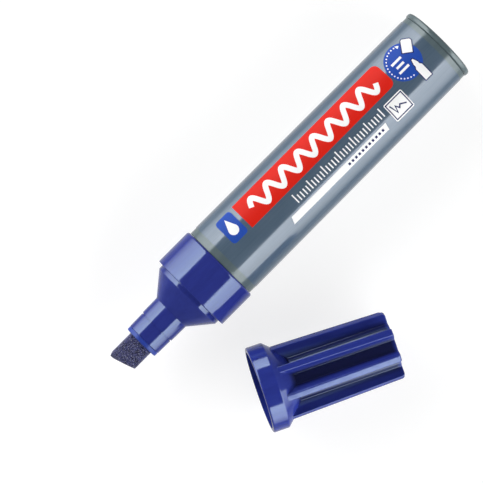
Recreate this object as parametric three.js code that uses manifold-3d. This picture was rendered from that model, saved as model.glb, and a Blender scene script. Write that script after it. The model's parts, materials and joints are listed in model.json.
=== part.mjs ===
// A thick chisel-nib marker lying on a table with its cap off beside it.
// Millimetres, +Z up. The pen lies along X with its nib towards -X, and the cap lies on the -Y side.
// Every piece is drawn along its own axis first: on the pen, X = 0 is the collar's front face, which
// the cap seats on, and +X runs to the rear. On the cap, X = 0 is the mouth and +X runs to its closed end.

import * as THREE from "three";
import { mergeVertices } from "three/addons/utils/BufferGeometryUtils.js";
import Module from "manifold-3d";

const wasm = await Module();
wasm.setup();

// Barrel and its printed film
const BARREL_DIAMETER = 20.56;
const BARREL_DRAFT = 0.19;
const BARREL_LENGTH = 75.1;
const BARREL_WALL = 0.95;
const FILM_THICKNESS = 0.08;
const FILM_FRONT_SETBACK = 2.0;
const FILM_REAR_SETBACK = 1.4;

// Nib and its holder
const NIB_WIDTH = 7.0;
const NIB_THICKNESS = 4.2;
const NIB_CORNER_RADIUS = 1.3;
const NIB_EXPOSED_LENGTH = 7.55;
const NIB_TAIL_DEPTH = 3.6;
const NIB_BLUNT_WIDTH = 1.4;
const NIB_EDGE_SLANT_DEGREES = 19.0;
const NIB_EDGE_THICKNESS = 1.8;
const NIB_WEDGE_LENGTH = 5.2;
const HOLDER_FLANGE_SETBACK = 0.07;
const HOLDER_FLANGE_THICKNESS = 1.1;
const HOLDER_SLEEVE_LENGTH = 8.0;
const HOLDER_SLEEVE_WALL = 0.42;

// Front section: collar, shoulder, cone and nozzle
const COLLAR_PROUD = 0.72;
const COLLAR_LENGTH = 10.3;
const COLLAR_REAR_ROUND = 0.6;
const COLLAR_FRONT_CHAMFER = 0.2;
const CAP_SEAT_WIDTH = 1.3;
const SHOULDER_LENGTH = 1.15;
const CONE_LENGTH = 5.65;
const NOZZLE_WALL = 0.65;
const NOZZLE_DRAFT = 0.07;
const NOZZLE_STEP = 0.12;
const NOZZLE_REAR_LENGTH = 4.9;
const NOZZLE_FRONT_LENGTH = 4.5;
const FRONT_WALL = 1.1;
const FRONT_SPIGOT_LENGTH = 8.0;
const SPIGOT_WALL = 0.85;

// End plug
const PLUG_LIP_PROUD = 0.25;
const PLUG_LIP_THICKNESS = 1.5;
const PLUG_LIP_ROUND = 0.55;
const PLUG_SPIGOT_LENGTH = 6.0;
const PLUG_RECESS_DEPTH = 0.4;
const PLUG_RIM_WIDTH = 2.6;

// Ink reservoir
const RESERVOIR_FRONT_ROOM = 1.8;
const RESERVOIR_REAR_ROOM = 1.9;
const RESERVOIR_FILM_THICKNESS = 0.12;
const RESERVOIR_FILM_SETBACK = 0.3;

// Cap
const CAP_BAND_LENGTH = 4.1;
const CAP_BAND_CHAMFER = 0.25;
const CAP_CONE_SLOPE_DEGREES = 43.0;
const CAP_RIDGE_SETBACK = 1.2;
const CAP_RIDGE_DRAFT = 0.75;
const CAP_RIDGE_COUNT = 8;
const CAP_RIDGE_WIDTH = 1.7;
const CAP_WALL = 0.9;
const CAP_CONE_WALL = 1.1;
const CAP_END_WALL = 1.2;
const CAP_END_ROUND = 0.8;
const CAP_HOLLOW_LENGTH = 6.6;
const CAP_BORE_DEPTH = 1.45;
const CAP_BORE_STEP = 0.3;
const LINER_WALL = 0.42;
const LINER_FLOOR = 0.8;
const LINER_FLANGE_WIDTH = 0.35;
const LINER_FLANGE_THICKNESS = 0.5;
const LINER_TIP_ROOM = 1.6;

// Fits: the room that one piece leaves to the next
const PRESS_GAP = 0.04;
const SLIDE_GAP = 0.15;
const LOOSE_GAP = 0.25;
const FILM_GAP = 0.02;
const FACE_GAP = 0.03;

// How the cap lies beside the pen
const CAP_HEADING_DEGREES = -26.4;
const CAP_MOUTH_X = -5.1;
const CAP_SPACING = 7.0;

// How far a cutting shape reaches past what it cuts
const CUT_OVERRUN = 1.0;

// Facets round a full turn
const ROUND_FACETS = 48;
const GROOVE_FACETS = 24;
const FILLET_STEPS = 3;

// Radii that follow, on the barrel and what is pressed into it
const BARREL_FRONT_RADIUS = BARREL_DIAMETER / 2;
const BARREL_REAR_RADIUS = BARREL_FRONT_RADIUS - BARREL_DRAFT;
const BARREL_BORE_RADIUS = BARREL_REAR_RADIUS - BARREL_WALL;
const SPIGOT_RADIUS = BARREL_BORE_RADIUS - PRESS_GAP;
const SPIGOT_BORE_RADIUS = SPIGOT_RADIUS - SPIGOT_WALL;
const RESERVOIR_FILM_RADIUS = SPIGOT_BORE_RADIUS - SLIDE_GAP;
const RESERVOIR_RADIUS = RESERVOIR_FILM_RADIUS - RESERVOIR_FILM_THICKNESS - FILM_GAP;
const COLLAR_RADIUS = BARREL_FRONT_RADIUS + COLLAR_PROUD;
const SHOULDER_RADIUS = COLLAR_RADIUS - CAP_SEAT_WIDTH;
const PLUG_LIP_RADIUS = BARREL_REAR_RADIUS + PLUG_LIP_PROUD;

// Radii that follow, from the nib outwards to the cap's grooves
const NIB_REACH = NIB_CORNER_RADIUS
  + Math.hypot(NIB_WIDTH / 2 - NIB_CORNER_RADIUS, NIB_THICKNESS / 2 - NIB_CORNER_RADIUS);
const HOLDER_SLEEVE_RADIUS = NIB_REACH + PRESS_GAP + HOLDER_SLEEVE_WALL;
const NOZZLE_BORE_RADIUS = HOLDER_SLEEVE_RADIUS + PRESS_GAP;
const NOZZLE_TIP_RADIUS = NOZZLE_BORE_RADIUS + NOZZLE_WALL;
const NOZZLE_STEP_RADIUS = NOZZLE_TIP_RADIUS + NOZZLE_DRAFT;
const NOZZLE_ROOT_RADIUS = NOZZLE_STEP_RADIUS + NOZZLE_STEP + NOZZLE_DRAFT;
const HOLDER_FLANGE_RADIUS = NOZZLE_TIP_RADIUS - HOLDER_FLANGE_SETBACK;
const LINER_BORE_RADIUS = NOZZLE_ROOT_RADIUS + SLIDE_GAP;
const LINER_RADIUS = LINER_BORE_RADIUS + LINER_WALL;
const LINER_FLANGE_RADIUS = LINER_RADIUS + LINER_FLANGE_WIDTH;
const CAP_CORE_RADIUS = LINER_RADIUS + PRESS_GAP;
const CAP_FLOOR_RADIUS = CAP_CORE_RADIUS + CAP_WALL;
const CAP_MOUTH_RADIUS = COLLAR_RADIUS;
const CAP_BORE_RADIUS = SHOULDER_RADIUS + SLIDE_GAP;
const CAP_RIDGE_FRONT_RADIUS = CAP_MOUTH_RADIUS - CAP_RIDGE_SETBACK;
const CAP_RIDGE_REAR_RADIUS = CAP_RIDGE_FRONT_RADIUS - CAP_RIDGE_DRAFT;

// Places that follow, along the pen
const CONE_ANGLE = Math.atan2(SHOULDER_RADIUS - NOZZLE_ROOT_RADIUS, CONE_LENGTH);
const CONE_INSET_RADIUS = SHOULDER_RADIUS - FRONT_WALL / Math.cos(CONE_ANGLE);
const NOZZLE_ROOT_X = -SHOULDER_LENGTH - CONE_LENGTH;
const NOZZLE_STEP_X = NOZZLE_ROOT_X - NOZZLE_REAR_LENGTH;
const NOZZLE_FRONT_X = NOZZLE_STEP_X - NOZZLE_FRONT_LENGTH;
const HOLDER_FRONT_X = NOZZLE_FRONT_X - FACE_GAP - HOLDER_FLANGE_THICKNESS;
const NIB_TIP_X = HOLDER_FRONT_X - NIB_EXPOSED_LENGTH;
const BARREL_FRONT_X = COLLAR_LENGTH + FACE_GAP;
const BARREL_REAR_X = BARREL_FRONT_X + BARREL_LENGTH;
const PLUG_LIP_X = BARREL_REAR_X + FACE_GAP;
const PEN_REAR_X = PLUG_LIP_X + PLUG_LIP_THICKNESS;
const PLUG_FRONT_X = PLUG_LIP_X - PLUG_SPIGOT_LENGTH;
const RESERVOIR_FRONT_X = innerConeX(SPIGOT_BORE_RADIUS) + RESERVOIR_FRONT_ROOM;
const RESERVOIR_REAR_X = PLUG_FRONT_X - RESERVOIR_REAR_ROOM;
const NIB_TAIL_X = RESERVOIR_FRONT_X + NIB_TAIL_DEPTH;

// Places that follow, along the cap
const CAP_CONE_SLOPE = Math.tan(THREE.MathUtils.degToRad(CAP_CONE_SLOPE_DEGREES));
const LINER_START_X = -NOZZLE_ROOT_X + LOOSE_GAP;
const LINER_FLANGE_REAR_X = LINER_START_X + LINER_FLANGE_THICKNESS;
const LINER_END_X = -NIB_TIP_X + LINER_TIP_ROOM + LINER_FLOOR;
const CAP_LENGTH = LINER_END_X + CAP_HOLLOW_LENGTH + CAP_END_WALL;

// Where along the pen the front section's inner cone reaches a radius.
function innerConeX(radius) {
  return -SHOULDER_LENGTH - (CONE_INSET_RADIUS - radius) / Math.tan(CONE_ANGLE);
}

// A closed ring or solid of revolution about the X axis, from [x, radius] corners in either order.
function turned(profile) {
  const points = profile.map(([x, radius]) => new THREE.Vector2(radius, x));
  if (THREE.ShapeUtils.area(points) < 0) points.reverse();
  const onAxis = points[0].x === 0 && points[points.length - 1].x === 0;
  if (!onAxis) points.push(points[0].clone());
  const geometry = new THREE.LatheGeometry(points, ROUND_FACETS);
  geometry.rotateZ(-Math.PI / 2);
  return geometry;
}

// The corners of a quarter-round fillet about [x, radius], from one angle to the other, in degrees.
function filletCorners(x, radius, size, fromDegrees, toDegrees) {
  const corners = [];
  for (let step = 0; step <= FILLET_STEPS; step += 1) {
    const share = step / FILLET_STEPS;
    const angle = THREE.MathUtils.degToRad(fromDegrees + (toDegrees - fromDegrees) * share);
    corners.push([x + size * Math.cos(angle), radius + size * Math.sin(angle)]);
  }
  return corners;
}

// The geometry's positions alone, with shared vertices merged, as a manifold solid.
function solidFrom(geometry) {
  const bare = geometry.clone();
  bare.deleteAttribute("normal");
  bare.deleteAttribute("uv");
  const merged = mergeVertices(bare);
  return new wasm.Manifold(
    new wasm.Mesh({
      numProp: 3,
      vertProperties: new Float32Array(merged.attributes.position.array),
      triVerts: new Uint32Array(merged.index.array),
    }),
  );
}

// A manifold solid as a geometry again.
function geometryFrom(solid) {
  const mesh = solid.getMesh();
  const geometry = new THREE.BufferGeometry();
  geometry.setAttribute("position", new THREE.BufferAttribute(mesh.vertProperties, mesh.numProp));
  geometry.setIndex(new THREE.BufferAttribute(mesh.triVerts, 1));
  geometry.computeVertexNormals();
  return geometry;
}

// A named mesh with a plain material of its own.
function piece(name, geometry, color, roughness) {
  const material = new THREE.MeshStandardMaterial({ color, roughness, metalness: 0 });
  const mesh = new THREE.Mesh(geometry, material);
  mesh.name = name;
  return mesh;
}

// The barrel's outer radius at a place along the pen, with its moulding draft.
function barrelRadius(x) {
  const share = (x - BARREL_FRONT_X) / BARREL_LENGTH;
  return BARREL_FRONT_RADIUS - BARREL_DRAFT * share;
}

// The nib's section, a rectangle with rounded corners, grown by a clearance and drawn across the pen.
function nibSection(clearance) {
  const halfWidth = NIB_WIDTH / 2 + clearance;
  const halfThickness = NIB_THICKNESS / 2 + clearance;
  const corner = NIB_CORNER_RADIUS + clearance;
  const shape = new THREE.Shape();
  shape.absarc(halfThickness - corner, halfWidth - corner, corner, 0, Math.PI / 2);
  shape.absarc(corner - halfThickness, halfWidth - corner, corner, Math.PI / 2, Math.PI);
  shape.absarc(corner - halfThickness, corner - halfWidth, corner, Math.PI, 1.5 * Math.PI);
  shape.absarc(halfThickness - corner, corner - halfWidth, corner, 1.5 * Math.PI, 2 * Math.PI);
  return shape;
}

// A bar with the nib's section between two places along the pen.
function nibBar(fromX, toX, clearance) {
  const geometry = new THREE.ExtrudeGeometry(nibSection(clearance), {
    depth: toX - fromX,
    bevelEnabled: false,
    curveSegments: FILLET_STEPS,
  });
  geometry.rotateY(Math.PI / 2);
  geometry.translate(fromX, 0, 0);
  return geometry;
}

// Blue moulding that closes the barrel's front and carries the nozzle.
function frontSection() {
  const roundX = COLLAR_LENGTH - COLLAR_REAR_ROUND;
  const spigotRear = COLLAR_LENGTH + FRONT_SPIGOT_LENGTH;
  const profile = [
    [NOZZLE_FRONT_X, NOZZLE_BORE_RADIUS],
    [NOZZLE_FRONT_X, NOZZLE_TIP_RADIUS],
    [NOZZLE_STEP_X, NOZZLE_STEP_RADIUS],
    [NOZZLE_STEP_X, NOZZLE_STEP_RADIUS + NOZZLE_STEP],
    [NOZZLE_ROOT_X, NOZZLE_ROOT_RADIUS],
    [-SHOULDER_LENGTH, SHOULDER_RADIUS],
    [0, SHOULDER_RADIUS],
    [0, COLLAR_RADIUS - COLLAR_FRONT_CHAMFER],
    [COLLAR_FRONT_CHAMFER, COLLAR_RADIUS],
    ...filletCorners(roundX, COLLAR_RADIUS - COLLAR_REAR_ROUND, COLLAR_REAR_ROUND, 90, 0),
    [COLLAR_LENGTH, SPIGOT_RADIUS],
    [spigotRear, SPIGOT_RADIUS],
    [spigotRear, SPIGOT_BORE_RADIUS],
    [innerConeX(SPIGOT_BORE_RADIUS), SPIGOT_BORE_RADIUS],
    [innerConeX(NOZZLE_BORE_RADIUS), NOZZLE_BORE_RADIUS],
  ];
  return piece("front_section", turned(profile), 0x2c3f9e, 0.3);
}

// Straight tube with a slight draft, open at both ends.
function barrel() {
  const profile = [
    [BARREL_FRONT_X, BARREL_BORE_RADIUS],
    [BARREL_FRONT_X, barrelRadius(BARREL_FRONT_X)],
    [BARREL_REAR_X, barrelRadius(BARREL_REAR_X)],
    [BARREL_REAR_X, BARREL_BORE_RADIUS],
  ];
  return piece("barrel", turned(profile), 0x8d9aa2, 0.35);
}

// Printed film round the barrel, short of it at both ends.
function wrap() {
  const front = BARREL_FRONT_X + FILM_FRONT_SETBACK;
  const rear = BARREL_REAR_X - FILM_REAR_SETBACK;
  const profile = [
    [front, barrelRadius(front) + FILM_GAP],
    [front, barrelRadius(front) + FILM_GAP + FILM_THICKNESS],
    [rear, barrelRadius(rear) + FILM_GAP + FILM_THICKNESS],
    [rear, barrelRadius(rear) + FILM_GAP],
  ];
  return piece("wrap", turned(profile), 0x7f8fa0, 0.3);
}

// Stopper pressed into the barrel's rear, a cup with a rounded lip and a shallow recess behind.
function endPlug() {
  const rim = PLUG_LIP_RADIUS - PLUG_RIM_WIDTH;
  const roundRadius = PLUG_LIP_RADIUS - PLUG_LIP_ROUND;
  const profile = [
    [PLUG_LIP_X, 0],
    [PLUG_LIP_X, SPIGOT_BORE_RADIUS],
    [PLUG_FRONT_X, SPIGOT_BORE_RADIUS],
    [PLUG_FRONT_X, SPIGOT_RADIUS],
    [PLUG_LIP_X, SPIGOT_RADIUS],
    ...filletCorners(PLUG_LIP_X + PLUG_LIP_ROUND, roundRadius, PLUG_LIP_ROUND, 180, 90),
    ...filletCorners(PEN_REAR_X - PLUG_LIP_ROUND, roundRadius, PLUG_LIP_ROUND, 90, 0),
    [PEN_REAR_X, rim],
    [PEN_REAR_X - PLUG_RECESS_DEPTH, rim - PLUG_RECESS_DEPTH],
    [PEN_REAR_X - PLUG_RECESS_DEPTH, 0],
  ];
  return piece("end_plug", turned(profile), 0x8b9a99, 0.4);
}

// Fibre rod that holds the ink, with a pocket in its front for the nib's tail.
function reservoirCore() {
  const profile = [
    [RESERVOIR_REAR_X, 0],
    [RESERVOIR_REAR_X, RESERVOIR_RADIUS],
    [RESERVOIR_FRONT_X, RESERVOIR_RADIUS],
    [RESERVOIR_FRONT_X, 0],
  ];
  const rod = solidFrom(turned(profile));
  const pocketStart = RESERVOIR_FRONT_X - CUT_OVERRUN;
  const pocket = solidFrom(nibBar(pocketStart, NIB_TAIL_X + SLIDE_GAP, SLIDE_GAP));
  return piece("reservoir_core", geometryFrom(rod.subtract(pocket)), 0x3a3f7a, 0.95);
}

// Thin film sleeve round the fibre rod.
function reservoirWrap() {
  const inner = RESERVOIR_RADIUS + FILM_GAP;
  const front = RESERVOIR_FRONT_X + RESERVOIR_FILM_SETBACK;
  const rear = RESERVOIR_REAR_X - RESERVOIR_FILM_SETBACK;
  const profile = [
    [front, inner],
    [front, RESERVOIR_FILM_RADIUS],
    [rear, RESERVOIR_FILM_RADIUS],
    [rear, inner],
  ];
  return piece("reservoir_wrap", turned(profile), 0xdfe3e6, 0.3);
}

// Ring at the very front, with a sleeve in the nozzle that grips the nib.
function nibHolder() {
  const flangeRear = HOLDER_FRONT_X + HOLDER_FLANGE_THICKNESS;
  const sleeveRear = flangeRear + HOLDER_SLEEVE_LENGTH;
  const profile = [
    [HOLDER_FRONT_X, 0],
    [HOLDER_FRONT_X, HOLDER_FLANGE_RADIUS],
    [flangeRear, HOLDER_FLANGE_RADIUS],
    [flangeRear, HOLDER_SLEEVE_RADIUS],
    [sleeveRear, HOLDER_SLEEVE_RADIUS],
    [sleeveRear, 0],
  ];
  const body = solidFrom(turned(profile));
  const hole = solidFrom(nibBar(HOLDER_FRONT_X - CUT_OVERRUN, sleeveRear + CUT_OVERRUN, PRESS_GAP));
  return piece("nib_holder", geometryFrom(body.subtract(hole)), 0x3350b0, 0.35);
}

// The nib seen from above: a bar whose front is cut on a slant, with a small blunt corner.
function nibPlan() {
  const half = NIB_WIDTH / 2;
  const slantSpan = NIB_WIDTH - NIB_BLUNT_WIDTH;
  const slant = slantSpan * Math.tan(THREE.MathUtils.degToRad(NIB_EDGE_SLANT_DEGREES));
  const shape = new THREE.Shape();
  shape.moveTo(NIB_TIP_X, half);
  shape.lineTo(NIB_TIP_X, half - NIB_BLUNT_WIDTH);
  shape.lineTo(NIB_TIP_X + slant, -half);
  shape.lineTo(NIB_TAIL_X, -half);
  shape.lineTo(NIB_TAIL_X, half);
  return shape;
}

// The nib seen from the side: full thickness at the holder, thinned to the writing edge.
function nibSide() {
  const half = NIB_THICKNESS / 2;
  const edge = NIB_EDGE_THICKNESS / 2;
  const shape = new THREE.Shape();
  shape.moveTo(NIB_TIP_X, -edge);
  shape.lineTo(NIB_TIP_X + NIB_WEDGE_LENGTH, -half);
  shape.lineTo(NIB_TAIL_X, -half);
  shape.lineTo(NIB_TAIL_X, half);
  shape.lineTo(NIB_TIP_X + NIB_WEDGE_LENGTH, half);
  shape.lineTo(NIB_TIP_X, edge);
  return shape;
}

// Felt chisel nib: the bar cut to its outline from above and from the side.
function nib() {
  const reach = 2 * NIB_WIDTH;
  const options = { depth: reach, bevelEnabled: false };
  const plan = new THREE.ExtrudeGeometry(nibPlan(), options);
  plan.translate(0, 0, -reach / 2);
  const side = new THREE.ExtrudeGeometry(nibSide(), options);
  side.translate(0, 0, -reach / 2);
  side.rotateX(Math.PI / 2);
  const bar = solidFrom(nibBar(NIB_TIP_X - CUT_OVERRUN, NIB_TAIL_X, 0));
  const cut = bar.intersect(solidFrom(plan)).intersect(solidFrom(side));
  return piece("nib", geometryFrom(cut), 0x35336b, 1.0);
}

// The angle between a groove's middle and the edge of the ridge beside it, at a radius.
function ridgeEdgeAngle(radius) {
  return Math.PI / CAP_RIDGE_COUNT - Math.asin(CAP_RIDGE_WIDTH / 2 / radius);
}

// Radius of the groove arcs and of the circle that their centres lie on, from floor and ridge width.
function grooveCircle() {
  const edgeAngle = ridgeEdgeAngle(CAP_RIDGE_FRONT_RADIUS);
  const up = CAP_RIDGE_FRONT_RADIUS * Math.cos(edgeAngle);
  const rise = CAP_RIDGE_FRONT_RADIUS ** 2 - CAP_FLOOR_RADIUS ** 2;
  const centre = rise / (2 * (up - CAP_FLOOR_RADIUS));
  return { centre, radius: centre - CAP_FLOOR_RADIUS };
}

// The rods that cut the grooves, grown by a wall where they bound the inside.
function grooveRods(growth) {
  const { centre, radius } = grooveCircle();
  const rods = [];
  for (let index = 0; index < CAP_RIDGE_COUNT; index += 1) {
    const size = radius + growth;
    const rod = new THREE.CylinderGeometry(size, size, 2 * CAP_LENGTH, GROOVE_FACETS);
    rod.rotateZ(Math.PI / 2);
    rod.translate(CAP_LENGTH, 0, centre);
    rod.rotateX((index * 2 * Math.PI) / CAP_RIDGE_COUNT);
    rods.push(solidFrom(rod));
  }
  return rods;
}

// Where along the cap its cone, moved in by a wall, comes down to a radius.
function capConeX(radius, wall) {
  const inset = wall / Math.cos(Math.atan(CAP_CONE_SLOPE));
  return CAP_BAND_LENGTH + (CAP_MOUTH_RADIUS - inset - radius) / CAP_CONE_SLOPE;
}

// The outside of the cap's front: the plain band and the whole cone behind it.
function capFront() {
  const inWall = CAP_FLOOR_RADIUS - CAP_WALL / 2;
  const coneEnd = capConeX(inWall, 0);
  return solidFrom(
    turned([
      [coneEnd, 0],
      [coneEnd, inWall],
      [CAP_BAND_LENGTH, CAP_MOUTH_RADIUS],
      [CAP_BAND_CHAMFER, CAP_MOUTH_RADIUS],
      [0, CAP_MOUTH_RADIUS - CAP_BAND_CHAMFER],
      [0, 0],
    ]),
  );
}

// The outside of the cap's ridged body, tapered towards the closed end and rounded at its edge.
function capBody() {
  const inBand = CAP_BAND_LENGTH / 2;
  const roundX = CAP_LENGTH - CAP_END_ROUND;
  const roundRadius = CAP_RIDGE_REAR_RADIUS - CAP_END_ROUND;
  const profile = [
    [inBand, 0],
    [inBand, CAP_RIDGE_FRONT_RADIUS],
    [capConeX(CAP_RIDGE_FRONT_RADIUS, 0), CAP_RIDGE_FRONT_RADIUS],
    ...filletCorners(roundX, roundRadius, CAP_END_ROUND, 90, 0),
    [CAP_LENGTH, 0],
  ];
  let body = solidFrom(turned(profile));
  for (const rod of grooveRods(0)) body = body.subtract(rod);
  return body;
}

// The inside of the cap's mouth: a bore over the pen's shoulder, a step, a cone and the liner's seat.
function capMouthRoom() {
  const step = CAP_BORE_RADIUS - CAP_BORE_STEP;
  const coneEnd = capConeX(CAP_CORE_RADIUS, CAP_CONE_WALL);
  const seatEnd = LINER_FLANGE_REAR_X + FACE_GAP;
  const seatRadius = LINER_FLANGE_RADIUS + PRESS_GAP;
  const mouth = turned([
    [coneEnd, 0],
    [coneEnd, CAP_CORE_RADIUS],
    [capConeX(step, CAP_CONE_WALL), step],
    [CAP_BORE_DEPTH, step],
    [CAP_BORE_DEPTH, CAP_BORE_RADIUS],
    [-CUT_OVERRUN, CAP_BORE_RADIUS],
    [-CUT_OVERRUN, 0],
  ]);
  const seat = turned([
    [seatEnd, 0],
    [seatEnd, seatRadius],
    [CAP_BORE_DEPTH, seatRadius],
    [CAP_BORE_DEPTH, 0],
  ]);
  return solidFrom(mouth).add(solidFrom(seat));
}

// The inside of the ridged body: a bore that the grooves' walls stand into.
function capBodyRoom() {
  const bore = CAP_RIDGE_REAR_RADIUS - CAP_WALL;
  const start = CAP_BORE_DEPTH;
  const end = CAP_LENGTH - CAP_END_WALL;
  let room = solidFrom(turned([[end, 0], [end, bore], [start, bore], [start, 0]]));
  for (const rod of grooveRods(CAP_WALL)) room = room.subtract(rod);
  return room;
}

// Blue cap with a plain mouth band, a cone and ridges down to its closed end.
function capShell() {
  const outside = capFront().add(capBody());
  const shell = outside.subtract(capMouthRoom()).subtract(capBodyRoom());
  return piece("cap_shell", geometryFrom(shell), 0x2c3f9e, 0.3);
}

// Seal cup pressed between the groove floors, which closes round the nozzle.
function capLiner() {
  const floor = LINER_END_X - LINER_FLOOR;
  const profile = [
    [LINER_END_X, 0],
    [LINER_END_X, LINER_RADIUS],
    [LINER_FLANGE_REAR_X, LINER_RADIUS],
    [LINER_FLANGE_REAR_X, LINER_FLANGE_RADIUS],
    [LINER_START_X, LINER_FLANGE_RADIUS],
    [LINER_START_X, LINER_BORE_RADIUS],
    [floor, LINER_BORE_RADIUS],
    [floor, 0],
  ];
  return piece("cap_liner", turned(profile), 0x25328a, 0.45);
}

// The pen, tilted so that it lies on its collar and on the lip of its end plug.
function pen() {
  const group = new THREE.Group();
  group.add(frontSection(), barrel(), wrap(), endPlug());
  group.add(reservoirCore(), reservoirWrap(), nibHolder(), nib());
  const collarFoot = COLLAR_LENGTH - COLLAR_REAR_ROUND;
  const lipFoot = PLUG_LIP_X + PLUG_LIP_ROUND;
  const tilt = Math.atan2(COLLAR_RADIUS - PLUG_LIP_RADIUS, lipFoot - collarFoot);
  group.rotation.y = tilt;
  group.position.z = collarFoot * Math.sin(tilt) + COLLAR_RADIUS * Math.cos(tilt);
  return group;
}

// The cap, lying on its mouth band and on the edges of its two lowest ridges.
function cap() {
  const tilted = new THREE.Group();
  tilted.add(capShell(), capLiner());
  const ridgeFoot = CAP_RIDGE_REAR_RADIUS * Math.cos(ridgeEdgeAngle(CAP_RIDGE_REAR_RADIUS));
  const footSpan = CAP_LENGTH - CAP_END_ROUND - CAP_BAND_LENGTH;
  const tilt = Math.atan2(CAP_MOUTH_RADIUS - ridgeFoot, footSpan);
  tilted.rotation.y = tilt;
  tilted.position.z = CAP_BAND_LENGTH * Math.sin(tilt) + CAP_MOUTH_RADIUS * Math.cos(tilt);
  const group = new THREE.Group();
  group.add(tilted);
  group.rotation.z = THREE.MathUtils.degToRad(CAP_HEADING_DEGREES);
  group.position.set(CAP_MOUTH_X, -COLLAR_RADIUS - CAP_SPACING - CAP_MOUTH_RADIUS, 0);
  return group;
}

// Both pieces, moved so that the origin is the middle of their footprint on the table.
function marker() {
  const group = new THREE.Group();
  group.add(pen(), cap());
  group.updateMatrixWorld(true);
  const box = new THREE.Box3().setFromObject(group, true);
  const middle = box.getCenter(new THREE.Vector3());
  group.position.set(-middle.x, -middle.y, -box.min.z);
  return group;
}

export default marker();
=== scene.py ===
"""A thick chisel-nib marker with its cap beside it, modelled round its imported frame.

Sizes are in millimetres along each sub-assembly's own axis. On the pen, X = 0 is the
collar's front face and +X runs to the rear. On the cap, X = 0 is the mouth and +X runs
to its closed end. A finished mesh is carried to its place in the model's frame, in metres.
"""

import json
import logging
import math
from abc import ABC, abstractmethod
from collections.abc import Sequence
from dataclasses import dataclass
from enum import Enum

import bmesh
import bpy
from mathutils import Matrix, Vector, noise

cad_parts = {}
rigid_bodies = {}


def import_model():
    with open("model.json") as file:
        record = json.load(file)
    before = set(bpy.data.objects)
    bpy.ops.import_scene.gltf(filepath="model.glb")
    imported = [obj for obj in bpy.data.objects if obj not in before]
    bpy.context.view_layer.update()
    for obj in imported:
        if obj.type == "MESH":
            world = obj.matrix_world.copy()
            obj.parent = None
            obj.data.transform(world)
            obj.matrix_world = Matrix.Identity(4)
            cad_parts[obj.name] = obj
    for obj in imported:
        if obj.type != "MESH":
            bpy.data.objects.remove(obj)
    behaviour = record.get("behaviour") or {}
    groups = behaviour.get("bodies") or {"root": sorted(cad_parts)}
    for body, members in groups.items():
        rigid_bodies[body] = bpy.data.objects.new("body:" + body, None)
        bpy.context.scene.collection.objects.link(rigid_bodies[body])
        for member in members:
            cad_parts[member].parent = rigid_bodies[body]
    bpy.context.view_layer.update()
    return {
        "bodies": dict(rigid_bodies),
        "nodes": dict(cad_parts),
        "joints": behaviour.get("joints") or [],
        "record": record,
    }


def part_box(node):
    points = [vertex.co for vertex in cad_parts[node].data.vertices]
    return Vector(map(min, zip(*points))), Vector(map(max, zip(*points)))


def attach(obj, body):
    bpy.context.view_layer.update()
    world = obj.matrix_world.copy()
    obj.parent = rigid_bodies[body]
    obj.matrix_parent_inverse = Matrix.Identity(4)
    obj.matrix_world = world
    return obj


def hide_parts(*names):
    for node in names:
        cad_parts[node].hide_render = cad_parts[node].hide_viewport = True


LOG = logging.getLogger("marker")

Profile = tuple[tuple[float, float], ...]
MM = 0.001
EVEN: Profile = ((0.0, 1.0), (1.0, 1.0))

# Mesh work
ROUND_STEPS = 128
ARC_STEP = math.radians(15.0)
GUARD = 0.04
MERGE = 0.0002
SMOOTH_ANGLE = math.radians(28.0)
OVERRUN = 1.0
ORDER = "order"

# Where the two mounts that place the pen and the cap lie in their own frames
REAR_FACE = 86.96
REAR_FACE_ABOVE = 8.84
CAP_LENGTH = 35.08

Colour = tuple[float, float, float]
Spot = tuple[float, float]
Socket = bpy.types.NodeSocket


class Body(Enum):
    """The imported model's moving bodies."""

    PEN = "pen"
    NIB = "nib"
    CAP = "cap"


class Slot(Enum):
    """The record's material slots."""

    BARREL = "barrel_plastic"
    FILM = "printed_film"
    PLUG = "plug_plastic"
    BLUE = "blue_plastic"
    NIB = "nib_felt"
    CORE = "reservoir_fibre"
    CORE_FILM = "reservoir_film"
    LINER = "liner_plastic"


class Cut(Enum):
    """What a carving shape does to a piece."""

    ADD = "UNION"
    TAKE_AWAY = "DIFFERENCE"


# ---------------------------------------------------------------------------
# Places
# ---------------------------------------------------------------------------


@dataclass(frozen=True)
class Place:
    """Where a sub-assembly's own millimetre frame lies in the model's frame.

    Attributes:
        matrix: Takes a point from the sub-assembly's frame to the model's.
    """

    matrix: Matrix

    @classmethod
    def along(cls, heading: Vector, point: Vector, station: float, above: float) -> "Place":
        """Lay a frame along a heading, from one point whose place in it is known.

        Args:
            heading: Direction of the frame's X axis.
            point: The known point, in metres.
            station: How far along the X axis that point is, in millimetres.
            above: How far above the X axis that point is, in millimetres.

        Returns:
            The place, with its Y axis level.
        """
        ahead = heading.normalized()
        side = Vector((0.0, 0.0, 1.0)).cross(ahead).normalized()
        up = ahead.cross(side)
        turn = Matrix((ahead, side, up)).transposed()
        origin = point - (ahead * station + up * above) * MM
        return cls(Matrix.Translation(origin) @ turn.to_4x4() @ Matrix.Scale(MM, 4))

    def at(self, x: float, y: float, z: float) -> Vector:
        """Give a point of the sub-assembly's frame in the model's frame."""
        return self.matrix @ Vector((x, y, z))


def mount(record: dict, name: str) -> tuple[Vector, Vector]:
    """Find one of the record's mounts.

    Args:
        record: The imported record.
        name: The mount's name.

    Returns:
        The mount's point and its direction.
    """
    found = next(entry for entry in record["mounts"] if entry["name"] == name)
    return Vector(found["pos_m"]), Vector(found["axis"])


# ---------------------------------------------------------------------------
# Mesh work
# ---------------------------------------------------------------------------


@dataclass(frozen=True)
class Corner:
    """A corner of a flat outline, in millimetres.

    Attributes:
        u: Its place along the piece.
        v: Its place across the piece, which is the radius on a turned profile.
        rounding: The radius that it is rounded to.
    """

    u: float
    v: float
    rounding: float = 0.0

    @property
    def point(self) -> Vector:
        """The corner's place before it is rounded."""
        return Vector((self.u, self.v))


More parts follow.
